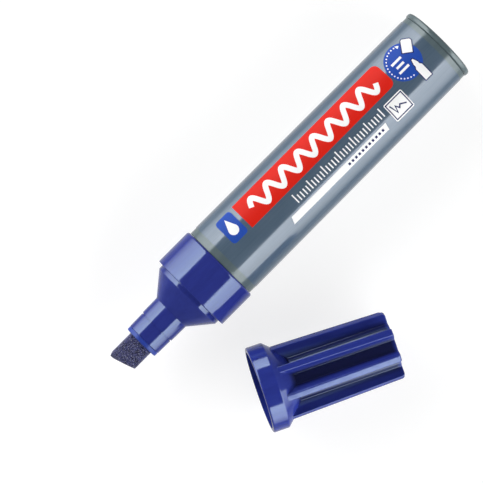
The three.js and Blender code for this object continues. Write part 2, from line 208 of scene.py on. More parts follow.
def fillet(
    before: Vector, corner: Vector, after: Vector, radius: float, steps: int
) -> list[Vector]:
    """Round one corner of a flat outline.

    Args:
        before: The point before the corner.
        corner: The corner.
        after: The point after it.
        radius: The rounding's radius.
        steps: How many straight steps it is drawn with, or 0 to follow its angle.

    Returns:
        The rounding's points, from one tangent point to the other.
    """
    back, ahead = before - corner, after - corner
    opening = back.angle(ahead)
    reach = radius / math.tan(opening / 2)
    middle = (back.normalized() + ahead.normalized()).normalized()
    centre = corner + middle * (radius / math.sin(opening / 2))
    spoke = corner + back.normalized() * reach - centre
    sweep = math.copysign(math.pi - opening, back.cross(ahead))
    count = steps or max(2, math.ceil(abs(sweep) / ARC_STEP))
    return [centre + Matrix.Rotation(-sweep * k / count, 2) @ spoke for k in range(count + 1)]


def soften(corners: Sequence[Corner], looped: bool) -> list[Vector]:
    """Round an outline's corners.

    A guard point stands close to each end of a rounding, so that the long faces beside
    it are shaded flat.

    Args:
        corners: The outline's corners in order.
        looped: Whether the last corner joins the first.

    Returns:
        The outline's points.
    """
    points: list[Vector] = []
    for index, corner in enumerate(corners):
        at_end = not looped and index in (0, len(corners) - 1)
        if at_end or corner.rounding == 0.0:
            points.append(corner.point)
            continue
        before = corners[index - 1].point
        after = corners[(index + 1) % len(corners)].point
        arc = fillet(before, corner.point, after, corner.rounding, 0)
        if (before - arc[0]).length > 3 * GUARD:
            points.append(arc[0] + (before - arc[0]).normalized() * GUARD)
        points += arc
        if (after - arc[-1]).length > 3 * GUARD:
            points.append(arc[-1] + (after - arc[-1]).normalized() * GUARD)
    return points


def clear_selection() -> None:
    """Leave edit mode and deselect everything."""
    active = bpy.context.view_layer.objects.active
    if active is not None and active.mode != "OBJECT":
        bpy.ops.object.mode_set(mode="OBJECT")
    bpy.ops.object.select_all(action="DESELECT")


def named(piece: bpy.types.Object, name: str) -> bpy.types.Object:
    """Name a piece and its mesh, and give the piece back."""
    piece.name = name
    piece.data.name = name
    return piece


def take_up(piece: bpy.types.Object) -> None:
    """Make a piece the only selected object, and the active one."""
    clear_selection()
    piece.select_set(True)
    bpy.context.view_layer.objects.active = piece


def place_selected(piece: bpy.types.Object, ring: Sequence[Vector]) -> None:
    """Move the selected ring of a piece in edit mode to where it goes.

    Args:
        piece: The piece, in edit mode.
        ring: The place of each of the ring's vertices, in order.
    """
    edit = bmesh.from_edit_mesh(piece.data)
    order = edit.verts.layers.int[ORDER]
    for vertex in edit.verts:
        if vertex.select:
            vertex.co = ring[vertex[order]]
    bmesh.update_edit_mesh(piece.data)


def loft(name: str, rings: Sequence[Sequence[Vector]], looped: bool = False) -> bpy.types.Object:
    """Draw a closed skin ring by ring, each ring extruded from the last.

    Args:
        name: Name of the new piece.
        rings: Rings with the same number of points each.
        looped: Whether the last ring joins the first, as on a tube with a wall.
            Otherwise the first and the last ring are filled.

    Returns:
        The new piece, with its faces pointing outwards.
    """
    clear_selection()
    fill = "NOTHING" if looped else "NGON"
    bpy.ops.mesh.primitive_circle_add(vertices=len(rings[0]), radius=1.0, fill_type=fill)
    piece = named(bpy.context.active_object, name)
    bpy.ops.object.mode_set(mode="EDIT")
    edit = bmesh.from_edit_mesh(piece.data)
    order = edit.verts.layers.int.new(ORDER)
    for index, vertex in enumerate(edit.verts):
        vertex[order] = index
    bpy.ops.mesh.select_all(action="SELECT")
    place_selected(piece, rings[0])
    for ring in [*rings[1:], rings[0]] if looped else rings[1:]:
        bpy.ops.mesh.extrude_region_move()
        place_selected(piece, ring)
    bpy.ops.mesh.select_all(action="SELECT")
    bpy.ops.mesh.remove_doubles(threshold=MERGE)
    bpy.ops.mesh.normals_make_consistent(inside=False)
    bpy.ops.object.mode_set(mode="OBJECT")
    piece.data.attributes.remove(piece.data.attributes[ORDER])
    return piece


def prism(name: str, section: Sequence[Vector], start: float, end: float) -> bpy.types.Object:
    """Draw a bar of even section along the X axis.

    Args:
        name: Name of the new piece.
        section: The section's points, as (Y, Z).
        start: Where the bar starts.
        end: Where it ends.

    Returns:
        The new piece.
    """
    return loft(name, [[Vector((x, point.x, point.y)) for point in section] for x in (start, end)])


def turned(name: str, corners: Sequence[Corner], looped: bool) -> bpy.types.Object:
    """Turn a profile about the X axis.

    Args:
        name: Name of the new piece.
        corners: Corners of the profile.
        looped: Whether the profile is a loop clear of the axis. Otherwise it runs from
            the rim of one end disc to the rim of the other.

    Returns:
        The new piece.
    """
    step = 2 * math.pi / ROUND_STEPS
    rings = [
        [
            Vector((point.x, point.y * math.sin(k * step), point.y * math.cos(k * step)))
            for k in range(ROUND_STEPS)
        ]
        for point in soften(corners, looped)
    ]
    return loft(name, rings, looped)


def carve(piece: bpy.types.Object, tool: bpy.types.Object, cut: Cut) -> None:
    """Join a shape to a piece, or cut it out of the piece, and use the shape up.

    Args:
        piece: The piece that is worked on.
        tool: The shape that is added or taken away.
        cut: Which of the two is done.
    """
    take_up(piece)
    modifier = piece.modifiers.new("carve", "BOOLEAN")
    modifier.operation = cut.value
    modifier.solver = "EXACT"
    modifier.object = tool
    bpy.ops.object.modifier_apply(modifier=modifier.name)
    shape = tool.data
    bpy.data.objects.remove(tool)
    bpy.data.meshes.remove(shape)


def slice_off(piece: bpy.types.Object, point: Vector, normal: Vector) -> None:
    """Cut a piece with a plane, drop what lies in front of it and close the cut.

    Args:
        piece: The piece that is cut.
        point: A point on the plane.
        normal: The plane's normal, towards what is dropped.
    """
    take_up(piece)
    bpy.ops.object.mode_set(mode="EDIT")
    bpy.ops.mesh.select_all(action="SELECT")
    bpy.ops.mesh.bisect(plane_co=point, plane_no=normal, use_fill=True, clear_outer=True)
    bpy.ops.object.mode_set(mode="OBJECT")


def joined(name: str, parts: Sequence[bpy.types.Object]) -> bpy.types.Object:
    """Make several meshes one object.

    Args:
        name: Name of the joined object.
        parts: The meshes, which are used up.

    Returns:
        The joined object.
    """
    take_up(parts[0])
    for part in parts:
        part.select_set(True)
    if len(parts) > 1:
        bpy.ops.object.join()
    return named(parts[0], name)


def triangles(piece: bpy.types.Object) -> int:
    """Count the triangles of a piece's mesh."""
    return sum(len(polygon.vertices) - 2 for polygon in piece.data.polygons)


# ---------------------------------------------------------------------------
# Finishes
# ---------------------------------------------------------------------------


class Nodes:
    """A node tree that is being built."""

    def __init__(self, tree: bpy.types.NodeTree) -> None:
        """Start on a tree."""
        self.nodes = tree.nodes
        self.links = tree.links

    def add(self, kind: str, **inputs: Socket | float | Colour) -> bpy.types.Node:
        """Add a node and feed its inputs.

        Args:
            kind: The node's type, without its prefix.
            **inputs: Values or sockets, named with underscores for spaces.

        Returns:
            The node.
        """
        node = self.nodes.new(f"ShaderNode{kind}")
        for name, value in inputs.items():
            self.feed(node.inputs[name.replace("_", " ")], value)
        return node

    def feed(self, socket: Socket, value: Socket | float | Colour) -> None:
        """Link or set an input, as the value asks."""
        if isinstance(value, bpy.types.NodeSocket):
            self.links.new(value, socket)
        elif isinstance(value, tuple) and len(socket.default_value) > len(value):
            socket.default_value = (*value, 1.0)
        else:
            socket.default_value = value


class Graph(Nodes):
    """One material's nodes, on coordinates in its piece's own millimetres."""

    def __init__(self, name: str, place: Place) -> None:
        """Start a material.

        Args:
            name: The material's name.
            place: The frame that its patterns follow.
        """
        self.material = bpy.data.materials.new(name)
        self.material.use_nodes = True
        super().__init__(self.material.node_tree)
        self.shader = self.nodes["Principled BSDF"]
        location, rotation, scale = place.matrix.decompose()
        mapping = self.add("Mapping", Vector=self.add("TexCoord").outputs["Object"])
        mapping.vector_type = "TEXTURE"
        mapping.inputs["Location"].default_value = location
        mapping.inputs["Rotation"].default_value = rotation.to_euler()
        mapping.inputs["Scale"].default_value = scale
        self.own = mapping.outputs["Vector"]
        self.normal: Socket | None = None

    def set(self, **values: float | Colour) -> None:
        """Set the shader's own sockets, named with underscores for spaces."""
        for name, value in values.items():
            self.feed(self.shader.inputs[name.replace("_", " ")], value)

    def drive(self, name: str, value: Socket) -> None:
        """Link a pattern to one of the shader's sockets."""
        self.links.new(value, self.shader.inputs[name])

    def along_axis(self) -> Socket:
        """Measure the place along the piece's own axis, in millimetres."""
        return self.add("SeparateXYZ", Vector=self.own).outputs["X"]

    def from_axis(self) -> Socket:
        """Measure the distance from the piece's own axis, in millimetres."""
        across = self.nodes.new("ShaderNodeVectorMath")
        across.operation = "MULTIPLY"
        across.inputs[1].default_value = (0.0, 1.0, 1.0)
        self.links.new(self.own, across.inputs[0])
        length = self.nodes.new("ShaderNodeVectorMath")
        length.operation = "LENGTH"
        self.links.new(across.outputs["Vector"], length.inputs[0])
        return length.outputs["Value"]

    def noise(self, cell: Colour, detail: float = 3.0, shift: float = 0.0) -> Socket:
        """Add a cloudy pattern.

        Args:
            cell: Size of its clouds in millimetres, along, across and up.
            detail: How many finer layers it has.
            shift: Moves the pattern, so that two of the same size differ.

        Returns:
            A value about 0.5 with most of its range from 0.3 to 0.7.
        """
        size = tuple(1.0 / side for side in cell)
        fitted = self.add("Mapping", Vector=self.own, Location=(shift, shift, shift), Scale=size)
        cloud = self.add("TexNoise", Vector=fitted.outputs["Vector"], Scale=1.0, Detail=detail)
        return cloud.outputs["Fac"]

    def spread(self, value: Socket, start: float, end: float, low: float, high: float) -> Socket:
        """Stretch a value's range to another one, and hold it there.

        Args:
            value: The value.
            start: Where its range starts.
            end: Where its range ends.
            low: What the start becomes.
            high: What the end becomes.

        Returns:
            The stretched value.
        """
        return self.add(
            "MapRange", Value=value, From_Min=start, From_Max=end, To_Min=low, To_Max=high
        ).outputs["Result"]

    def combine(self, operation: str, first: Socket, second: Socket | float) -> Socket:
        """Join two values by a sum of arithmetic.

        Args:
            operation: The Math node's operation.
            first: The first value.
            second: The second value.

        Returns:
            The result.
        """
        node = self.nodes.new("ShaderNodeMath")
        node.operation = operation
        self.feed(node.inputs[0], first)
        self.feed(node.inputs[1], second)
        return node.outputs["Value"]

    def blend(self, share: Socket, first: Socket | Colour, second: Socket | Colour) -> Socket:
        """Blend two colours.

        Args:
            share: How much of the second colour there is.
            first: The first colour.
            second: The second colour.

        Returns:
            The blended colour.
        """
        node = self.nodes.new("ShaderNodeMix")
        node.data_type = "RGBA"
        self.links.new(share, node.inputs["Factor"])
        inputs = [socket for socket in node.inputs if socket.type == "RGBA"]
        self.feed(inputs[0], first)
        self.feed(inputs[1], second)
        return next(socket for socket in node.outputs if socket.type == "RGBA")

    def relief(self, height: Socket, depth: float) -> None:
        """Raise the surface by a pattern, on top of what is already raised.

        Args:
            height: The pattern, from 0 to 1.
            depth: Its height in millimetres.
        """
        node = self.add("Bump", Strength=1.0, Distance=depth * MM, Height=height)
        if self.normal is not None:
            self.links.new(self.normal, node.inputs["Normal"])
        self.normal = node.outputs["Normal"]
        self.drive("Normal", self.normal)


@dataclass(frozen=True)
class Finish(ABC):
    """How a piece's surface looks.

    Attributes:
        name: The material's name.
    """

    name: str

    @abstractmethod
    def paint(self, graph: Graph) -> None:
        """Build the finish in a new material's nodes."""

    def put_on(self, piece: bpy.types.Object, place: Place) -> None:
        """Give a piece this finish, in the frame that its patterns follow."""
        graph = Graph(f"{self.name}_{piece.name}", place)
        self.paint(graph)
        piece.data.materials.clear()
        piece.data.materials.append(graph.material)


@dataclass(frozen=True)
class MouldedPlastic(Finish):
    """Glossy injection-moulded plastic with faint flow marks, handling haze and, where it is
    given, painted shade in its grooves.

    Attributes:
        colour: Its colour.
        flow: The colour of its flow marks.
        polish: Lowest and highest roughness.
        gloss: How strong its shine is.
        shine: Tint of its shine.
        peel: Depth of its slow waviness in millimetres.
        groove_shade: Painted shade: the darker colour painted into the grooves, where it has any.
        grooves: Distances from the axis over which that painted shade fades out to the usual
            colour.
        grooves_end: Where the painted shade stops along the piece, at the grooves' end.
    """

    colour: Colour
    flow: Colour
    polish: tuple[float, float] = (0.07, 0.15)
    gloss: float = 1.0
    shine: Colour = (0.66, 0.82, 1.0)
    peel: float = 0.0006
    groove_shade: Colour | None = None
    grooves: tuple[float, float] = (6.9, 8.5)
    grooves_end: tuple[float, float] = (33.9, 34.9)

    def paint(self, graph: Graph) -> None:
        """Build the plastic."""
        flow = graph.spread(graph.noise((7.0, 1.4, 1.4), 4.0), 0.36, 0.66, 0.0, 1.0)
        colour = graph.blend(flow, self.colour, self.flow)
        # Painted shade: darker towards the axis, in the grooves, fading out before the closed end.
        if self.groove_shade:
            away = graph.spread(graph.from_axis(), *self.grooves, 1.0, 0.0)
            ahead = graph.spread(graph.along_axis(), *self.grooves_end, 1.0, 0.0)
            colour = graph.blend(graph.combine("MULTIPLY", away, ahead), colour, self.groove_shade)
        graph.drive("Base Color", colour)
        haze = graph.spread(graph.noise((1.6, 1.1, 1.1), 5.0, 4.0), 0.38, 0.68, *self.polish)
        hairs = graph.spread(graph.noise((9.0, 0.07, 0.11), 1.0, 9.0), 0.70, 0.76, 0.0, 0.12)
        graph.drive("Roughness", graph.combine("ADD", haze, hairs))
        graph.relief(graph.noise((0.9, 0.7, 0.7), 1.0), self.peel)
        graph.relief(graph.noise((0.05, 0.05, 0.05), 1.0), 0.00004)
        graph.set(Specular_IOR_Level=self.gloss, Specular_Tint=self.shine, IOR=1.5)


@dataclass(frozen=True)
class Film(Finish):
    """Printed film: a grey lacquered ground with fine drawn streaks.

    Attributes:
        colour: The ground's colour.
        streak: The colour of its streaks.
    """

    colour: Colour
    streak: Colour

    def paint(self, graph: Graph) -> None:
        """Build the film."""
        drawn = graph.spread(graph.noise((24.0, 0.35, 0.35), 5.0), 0.34, 0.66, 0.0, 1.0)
        cloud = graph.spread(graph.noise((11.0, 5.0, 5.0), 2.0, 3.0), 0.35, 0.65, 0.0, 0.5)
        share = graph.combine("MULTIPLY", drawn, 0.6)
        graph.drive(
            "Base Color",
            graph.blend(graph.combine("ADD", share, cloud), self.colour, self.streak),
        )
        haze = graph.spread(graph.noise((3.0, 1.2, 1.2), 5.0, 7.0), 0.36, 0.68, 0.12, 0.22)
        graph.drive("Roughness", haze)
        graph.relief(graph.noise((3.2, 2.1, 2.1), 1.0), 0.0016)
        graph.relief(graph.noise((0.12, 0.06, 0.06), 2.0), 0.0001)
        graph.set(Metallic=0.12, Coat_Weight=0.6, Coat_Roughness=0.08, IOR=1.5)


@dataclass(frozen=True)
class Ink(Finish):
    """Screen-printed ink with the mottle of its mesh.

    Attributes:
        colour: The ink's colour.
        thin: Its colour where it is thinnest.
    """

    colour: Colour
    thin: Colour

    def paint(self, graph: Graph) -> None:
        """Build the ink."""
        mottle = graph.spread(graph.noise((0.25, 0.25, 0.25), 4.0), 0.40, 0.75, 0.0, 1.0)
        graph.drive("Base Color", graph.blend(mottle, self.colour, self.thin))
        haze = graph.spread(graph.noise((1.1, 0.8, 0.8), 4.0, 2.0), 0.36, 0.66, 0.34, 0.46)
        graph.drive("Roughness", haze)
        graph.relief(graph.noise((0.12, 0.12, 0.12), 2.0), 0.0003)
        graph.set(Specular_IOR_Level=0.1, IOR=1.45)


@dataclass(frozen=True)
class Felt(Finish):
    """Pressed felt soaked with ink, its fibres lying along the nib, with painted shade in the
    hollows between them.

    Attributes:
        colour: The soaked fibres' colour.
        pore_shade: Painted shade: the near-black colour painted into the hollows between the
            fibres, where the relief is lowest.
        dry: The colour of fibre ends that stand out dry.
    """

    colour: Colour
    pore_shade: Colour
    dry: Colour

    def paint(self, graph: Graph) -> None:
        """Build the felt."""
        fibres = graph.noise((1.1, 0.11, 0.11), 5.0)
        tufts = graph.noise((0.55, 0.32, 0.32), 4.0, 6.0)
        # Painted shade: the colour darkens to the near-black pore colour where the relief is
        # lowest, between fibres and tufts.
        depth = graph.spread(tufts, 0.38, 0.56, 1.0, 0.0)
        ground = graph.blend(graph.spread(fibres, 0.36, 0.62, 1.0, 0.0), self.colour, self.pore_shade)
        dark = graph.blend(depth, ground, self.pore_shade)
        tips = graph.spread(graph.noise((0.34, 0.16, 0.16), 3.0, 11.0), 0.57, 0.64, 0.0, 0.85)
        graph.drive("Base Color", graph.blend(tips, dark, self.dry))
        graph.drive("Roughness", graph.spread(fibres, 0.3, 0.7, 0.55, 0.95))
        graph.relief(tufts, 0.10)
        graph.relief(fibres, 0.05)
        graph.set(Sheen_Weight=0.35, Sheen_Roughness=0.4, IOR=1.4)


@dataclass(frozen=True)
class Fibre(Finish):
    """Bundled polyester fibre of the ink reservoir.

    Attributes:
        colour: The soaked fibres' colour.
        pale: The colour of fibres that hold little ink.
    """

    colour: Colour
    pale: Colour

    def paint(self, graph: Graph) -> None:
        """Build the fibre."""
        strands = graph.noise((5.0, 0.09, 0.09), 4.0)
        share = graph.spread(strands, 0.35, 0.68, 0.0, 1.0)
        graph.drive("Base Color", graph.blend(share, self.colour, self.pale))
        graph.drive("Roughness", graph.spread(strands, 0.3, 0.7, 0.7, 0.95))
        graph.relief(strands, 0.04)
        graph.set(Sheen_Weight=0.2, Sheen_Roughness=0.5)


@dataclass(frozen=True)
class ClearFilm(Finish):
    """Thin clear film with the ink showing through in patches.

    Attributes:
        colour: The film's colour.
        stain: The colour of the ink behind it.
    """

    colour: Colour
    stain: Colour

    def paint(self, graph: Graph) -> None:
        """Build the film."""
        stains = graph.spread(graph.noise((6.0, 2.0, 2.0), 4.0), 0.38, 0.62, 0.0, 1.0)
        graph.drive("Base Color", graph.blend(stains, self.colour, self.stain))
        haze = graph.spread(graph.noise((1.0, 1.0, 1.0), 3.0, 5.0), 0.35, 0.65, 0.08, 0.2)
        graph.drive("Roughness", haze)
        graph.relief(graph.noise((2.0, 1.0, 1.0), 2.0), 0.002)
        graph.set(Coat_Weight=0.5, Coat_Roughness=0.05)


@dataclass(frozen=True)
class Tabletop(Finish):
    """Plain pale floor of a light table.

    Attributes:
        glow: Radiance of its own light.
    """

    glow: float

    def paint(self, graph: Graph) -> None:
        """Build the floor."""
        cloud = graph.spread(graph.noise((60.0, 60.0, 60.0), 2.0), 0.3, 0.7, 0.0, 1.0)
        graph.drive("Base Color", graph.blend(cloud, (0.24, 0.24, 0.24), (0.26, 0.26, 0.26)))
        graph.set(Roughness=0.8, Specular_IOR_Level=0.1)
        graph.set(Emission_Color=(1.0, 1.0, 1.0), Emission_Strength=self.glow)


BLUE_PLASTIC = MouldedPlastic("blue_plastic", (0.022, 0.031, 0.212), (0.025, 0.036, 0.236))
# The cap's plastic carries painted shade that darkens its groove floors.
CAP_PLASTIC = MouldedPlastic(
    "cap_plastic",
    (0.022, 0.034, 0.250),
    (0.025, 0.039, 0.275),
    groove_shade=(0.010, 0.013, 0.075),
    grooves=(6.75, 7.9),
)
HOLDER_PLASTIC = MouldedPlastic(
    "holder_plastic", (0.022, 0.046, 0.300), (0.025, 0.052, 0.325), polish=(0.28, 0.38), gloss=0.4
)
LINER_PLASTIC = MouldedPlastic(
    "liner_plastic", (0.018, 0.030, 0.200), (0.022, 0.036, 0.230), polish=(0.22, 0.34), gloss=0.4
)
GREY_PLASTIC = MouldedPlastic(
    "grey_plastic",
    (0.090, 0.124, 0.136),
    (0.102, 0.138, 0.150),
    polish=(0.14, 0.24),
    gloss=0.7,
    shine=(0.92, 1.0, 1.0),
)
PRINTED_FILM = Film("printed_film", (0.076, 0.117, 0.170), (0.096, 0.142, 0.200))
RED_INK = Ink("red_ink", (0.680, 0.017, 0.009), (0.630, 0.019, 0.010))
BLUE_INK = Ink("blue_ink", (0.020, 0.070, 0.390), (0.023, 0.078, 0.415))
WHITE_INK = Ink("white_ink", (0.930, 0.930, 0.930), (0.890, 0.890, 0.895))
DARK_INK = Ink("dark_ink", (0.012, 0.018, 0.100), (0.018, 0.026, 0.130))
# The nib felt's second colour is painted shade for the felt's hollows.
NIB_FELT = Felt("nib_felt", (0.066, 0.072, 0.235), (0.007, 0.007, 0.028), (0.320, 0.330, 0.480))
CORE_FIBRE = Fibre("core_fibre", (0.030, 0.040, 0.220), (0.210, 0.230, 0.480))
CORE_FILM = ClearFilm("core_film", (0.620, 0.650, 0.700), (0.160, 0.190, 0.450))
PLAIN_FLOOR = Tabletop("plain_floor", glow=0.82)


# ---------------------------------------------------------------------------
# Sub-assemblies
# ---------------------------------------------------------------------------


@dataclass
class SubAssembly(ABC):
    """A part of the marker that is made of one or more pieces.

    Attributes:
        place: The frame that its sizes are in.
    """

    place: Place

    def __post_init__(self) -> None:
        """Start with no pieces."""
        self.finished: list[tuple[bpy.types.Object, Finish]] = []

    @abstractmethod
    def build(self) -> None:
        """Model the pieces."""

    def dress(self) -> None:
        """Give each piece its finish."""
        for piece, finish in self.finished:
            finish.put_on(piece, self.place)

    def keep(
        self,
        piece: bpy.types.Object,
        finish: Finish,
        body: Body,
        slot: Slot,
        *nodes: str,
        angle: float = SMOOTH_ANGLE,
    ) -> None:
        """Carry a modelled piece to its place and tie it to the frame.

        Args:
            piece: The piece, in this sub-assembly's millimetres.
            finish: The finish that it gets when it is dressed.
            body: The body that it moves with.
            slot: The record's material slot for the piece. It is not used.
            *nodes: The CAD nodes that it stands for.
            angle: Edges that turn by more than this stay crisp.
        """
        take_up(piece)
        bpy.ops.object.shade_smooth_by_angle(angle=angle)
        piece.data.transform(self.place.matrix)
        piece.data.update()
        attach(piece, body.value)
        if nodes:
            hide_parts(*nodes)
        self.finished.append((piece, finish))
        LOG.info("%s: %d triangles on %s", piece.name, triangles(piece), body.value)
        for node in nodes:
            self.compare(piece, node)

    @staticmethod
    def compare(piece: bpy.types.Object, node: str) -> None:
        """Log how far a piece's box is from that of the CAD node it stands for."""
        low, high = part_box(node)
        points = [vertex.co for vertex in piece.data.vertices]
        gaps = []
        for axis in range(3):
            values = [point[axis] for point in points]
            gaps += [low[axis] - min(values), max(values) - high[axis]]
        LOG.info("  beside %s: %.3f to %.3f mm", node, min(gaps) / MM, max(gaps) / MM)


@dataclass
class NibSizes:
    """Sizes of the nib that its holder and the reservoir share, in millimetres."""

    tip: float = -24.88
    tail: float = 4.22
    width: float = 7.0
    thickness: float = 4.2
    corner: float = 1.3

    def bar(self, name: str, start: float, end: float, growth: float) -> bpy.types.Object:
        """Model a bar with the nib's section.

        Args:
            name: Name of the bar.
            start: Where it starts along the pen.
            end: Where it ends along the pen.
            growth: How much it is larger than the nib on every side.

        Returns:
            The bar.
        """
        half_width = self.width / 2 + growth
        half_thickness = self.thickness / 2 + growth
        corner = self.corner + growth
        section = soften(
            [
                Corner(half_width, half_thickness, corner),
                Corner(-half_width, half_thickness, corner),
                Corner(-half_width, -half_thickness, corner),
                Corner(half_width, -half_thickness, corner),
            ],
            looped=True,
        )
        return prism(name, section, start, end)


@dataclass
class FrontSection(SubAssembly):
    """Blue moulding with the collar, the shoulder, the cone and the nozzle.

    Stations run along the pen. A scored line, `line_width` long and `line_depth` deep,
    stands in front of the small step that the cap's seal closes on.
    """

    nozzle_front: float = -16.2
    nozzle_step: float = -11.7
    nozzle_root: float = -6.8
    shoulder_front: float = -1.15
    collar_rear: float = 10.3
    spigot_rear: float = 18.3
    bore: float = 4.141
    tip_radius: float = 4.791
    step_radius: float = 4.861
    step_height: float = 0.12
    line_width: float = 0.32
    line_depth: float = 0.18
    root_radius: float = 5.051
    shoulder_radius: float = 9.70
    collar_radius: float = 11.0
    spigot_radius: float = 9.10
    spigot_bore: float = 8.25
    cone_inner_front: float = -6.18
    cone_inner_rear: float = -1.18
    edge_round: float = 0.12
    collar_round: float = 0.66

    def build(self) -> None:
        """Turn the moulding."""
        edge = self.edge_round
        piece = turned(
            "front_moulding",
            [
                Corner(self.nozzle_front, self.bore, edge),
                Corner(self.nozzle_front, self.tip_radius, edge),
                Corner(self.nozzle_step - self.line_width, self.step_radius, edge / 3),
                Corner(self.nozzle_step - self.line_width, self.step_radius - self.line_depth),
                Corner(self.nozzle_step, self.step_radius - self.line_depth),
                Corner(self.nozzle_step, self.step_radius + self.step_height, edge / 3),
                Corner(self.nozzle_root, self.root_radius, edge),
                Corner(self.shoulder_front, self.shoulder_radius, 2 * edge),
                Corner(0.0, self.shoulder_radius, edge),
                Corner(0.0, self.collar_radius, 1.6 * edge),
                Corner(self.collar_rear, self.collar_radius, self.collar_round),
                Corner(self.collar_rear, self.spigot_radius),
                Corner(self.spigot_rear, self.spigot_radius, edge),
                Corner(self.spigot_rear, self.spigot_bore, edge),
                Corner(self.cone_inner_rear, self.spigot_bore),
                Corner(self.cone_inner_front, self.bore),
            ],
            looped=True,
        )
        self.keep(piece, BLUE_PLASTIC, Body.PEN, Slot.BLUE, "front_section")


@dataclass
class NibUnit(SubAssembly):
    """The felt nib and the ring that grips it."""

    nib: NibSizes
    flange_front: float = -17.33
    flange_rear: float = -16.23
    sleeve_rear: float = -8.23
    flange_radius: float = 4.721
    sleeve_radius: float = 4.101
    flange_round: float = 0.22
    hole_gap: float = 0.04
    blunt_width: float = 1.4
    slant: float = math.radians(19.0)
    edge_thickness: float = 1.8
    wedge_length: float = 5.2
    nose_inset: float = 0.38
    nose_length: float = 1.9
    voxel: float = 0.11
    fuzz: float = 0.05
    strand_cell: Colour = (0.9, 0.16, 0.16)
    tuft_cell: Colour = (0.7, 0.45, 0.45)
    tuft_shift: float = 40.0
    crisp_angle: float = math.radians(60.0)

    def build(self) -> None:
        """Model the ring and the nib."""
        ring = turned(
            "nib_ring",
            [
                Corner(self.flange_front, self.flange_radius - 2 * self.flange_round),
                Corner(self.flange_front, self.flange_radius, self.flange_round),
                Corner(self.flange_rear, self.flange_radius, self.flange_round / 3),
                Corner(self.flange_rear, self.sleeve_radius),
                Corner(self.sleeve_rear, self.sleeve_radius, self.flange_round),
                Corner(self.sleeve_rear, self.sleeve_radius - 2 * self.flange_round),
            ],
            looped=False,
        )
        hole = self.nib.bar(
            "hole", self.flange_front - OVERRUN, self.sleeve_rear + OVERRUN, self.hole_gap
        )
        carve(ring, hole, Cut.TAKE_AWAY)
        self.keep(ring, HOLDER_PLASTIC, Body.PEN, Slot.BLUE, "nib_holder")
        self.keep(self.felt_nib(), NIB_FELT, Body.NIB, Slot.NIB, "nib", angle=self.crisp_angle)

    def felt_nib(self) -> bpy.types.Object:
        """Cut the nib from a bar and give it a felted surface.

        Returns:
            The nib.
        """
        nib = self.nib
        half = nib.width / 2
        piece = nib.bar("felt_tip", nib.tip, nib.tail, 0.0)
        slant_side = half - self.blunt_width
        slice_off(
            piece,
            Vector((nib.tip, slant_side, 0.0)),
            Vector((-1.0, -math.tan(self.slant), 0.0)),
        )
        fall = (nib.thickness - self.edge_thickness) / 2
        for side in (1.0, -1.0):
            slice_off(
                piece,
                Vector((nib.tip, 0.0, side * self.edge_thickness / 2)),
                Vector((-fall, 0.0, side * self.wedge_length)),
            )
        slice_off(
            piece,
            Vector((nib.tip, half - self.nose_inset, 0.0)),
            Vector((-self.nose_inset, self.nose_length, 0.0)),
        )
        self.felt(piece)
        return piece

    def felt(self, piece: bpy.types.Object) -> None:
        """Round a piece's edges off and press the grooves of its fibres into it.

        Args:
            piece: The piece, in millimetres.
        """
        take_up(piece)
        remesh = piece.modifiers.new("remesh", "REMESH")
        remesh.mode = "VOXEL"
        remesh.voxel_size = self.voxel
        bpy.ops.object.modifier_apply(modifier=remesh.name)
        smooth = piece.modifiers.new("smooth", "SMOOTH")
        smooth.iterations = 1
        bpy.ops.object.modifier_apply(modifier=smooth.name)
        edit = bmesh.new()
        edit.from_mesh(piece.data)
        edit.normal_update()
        for vertex in edit.verts:
            along, across, up = vertex.co
            long, wide, high = self.strand_cell
            strand = noise.noise(Vector((along / long, across / wide, up / high)))
            long, wide, high = self.tuft_cell
            shifted = along / long + self.tuft_shift
            tuft = noise.noise(Vector((shifted, across / wide, up / high)))
            depth = 0.5 + 0.5 * max(-1.0, min(1.0, 0.7 * strand + 0.9 * tuft))
            vertex.co -= vertex.normal * self.fuzz * depth
        edit.to_mesh(piece.data)
        edit.free()


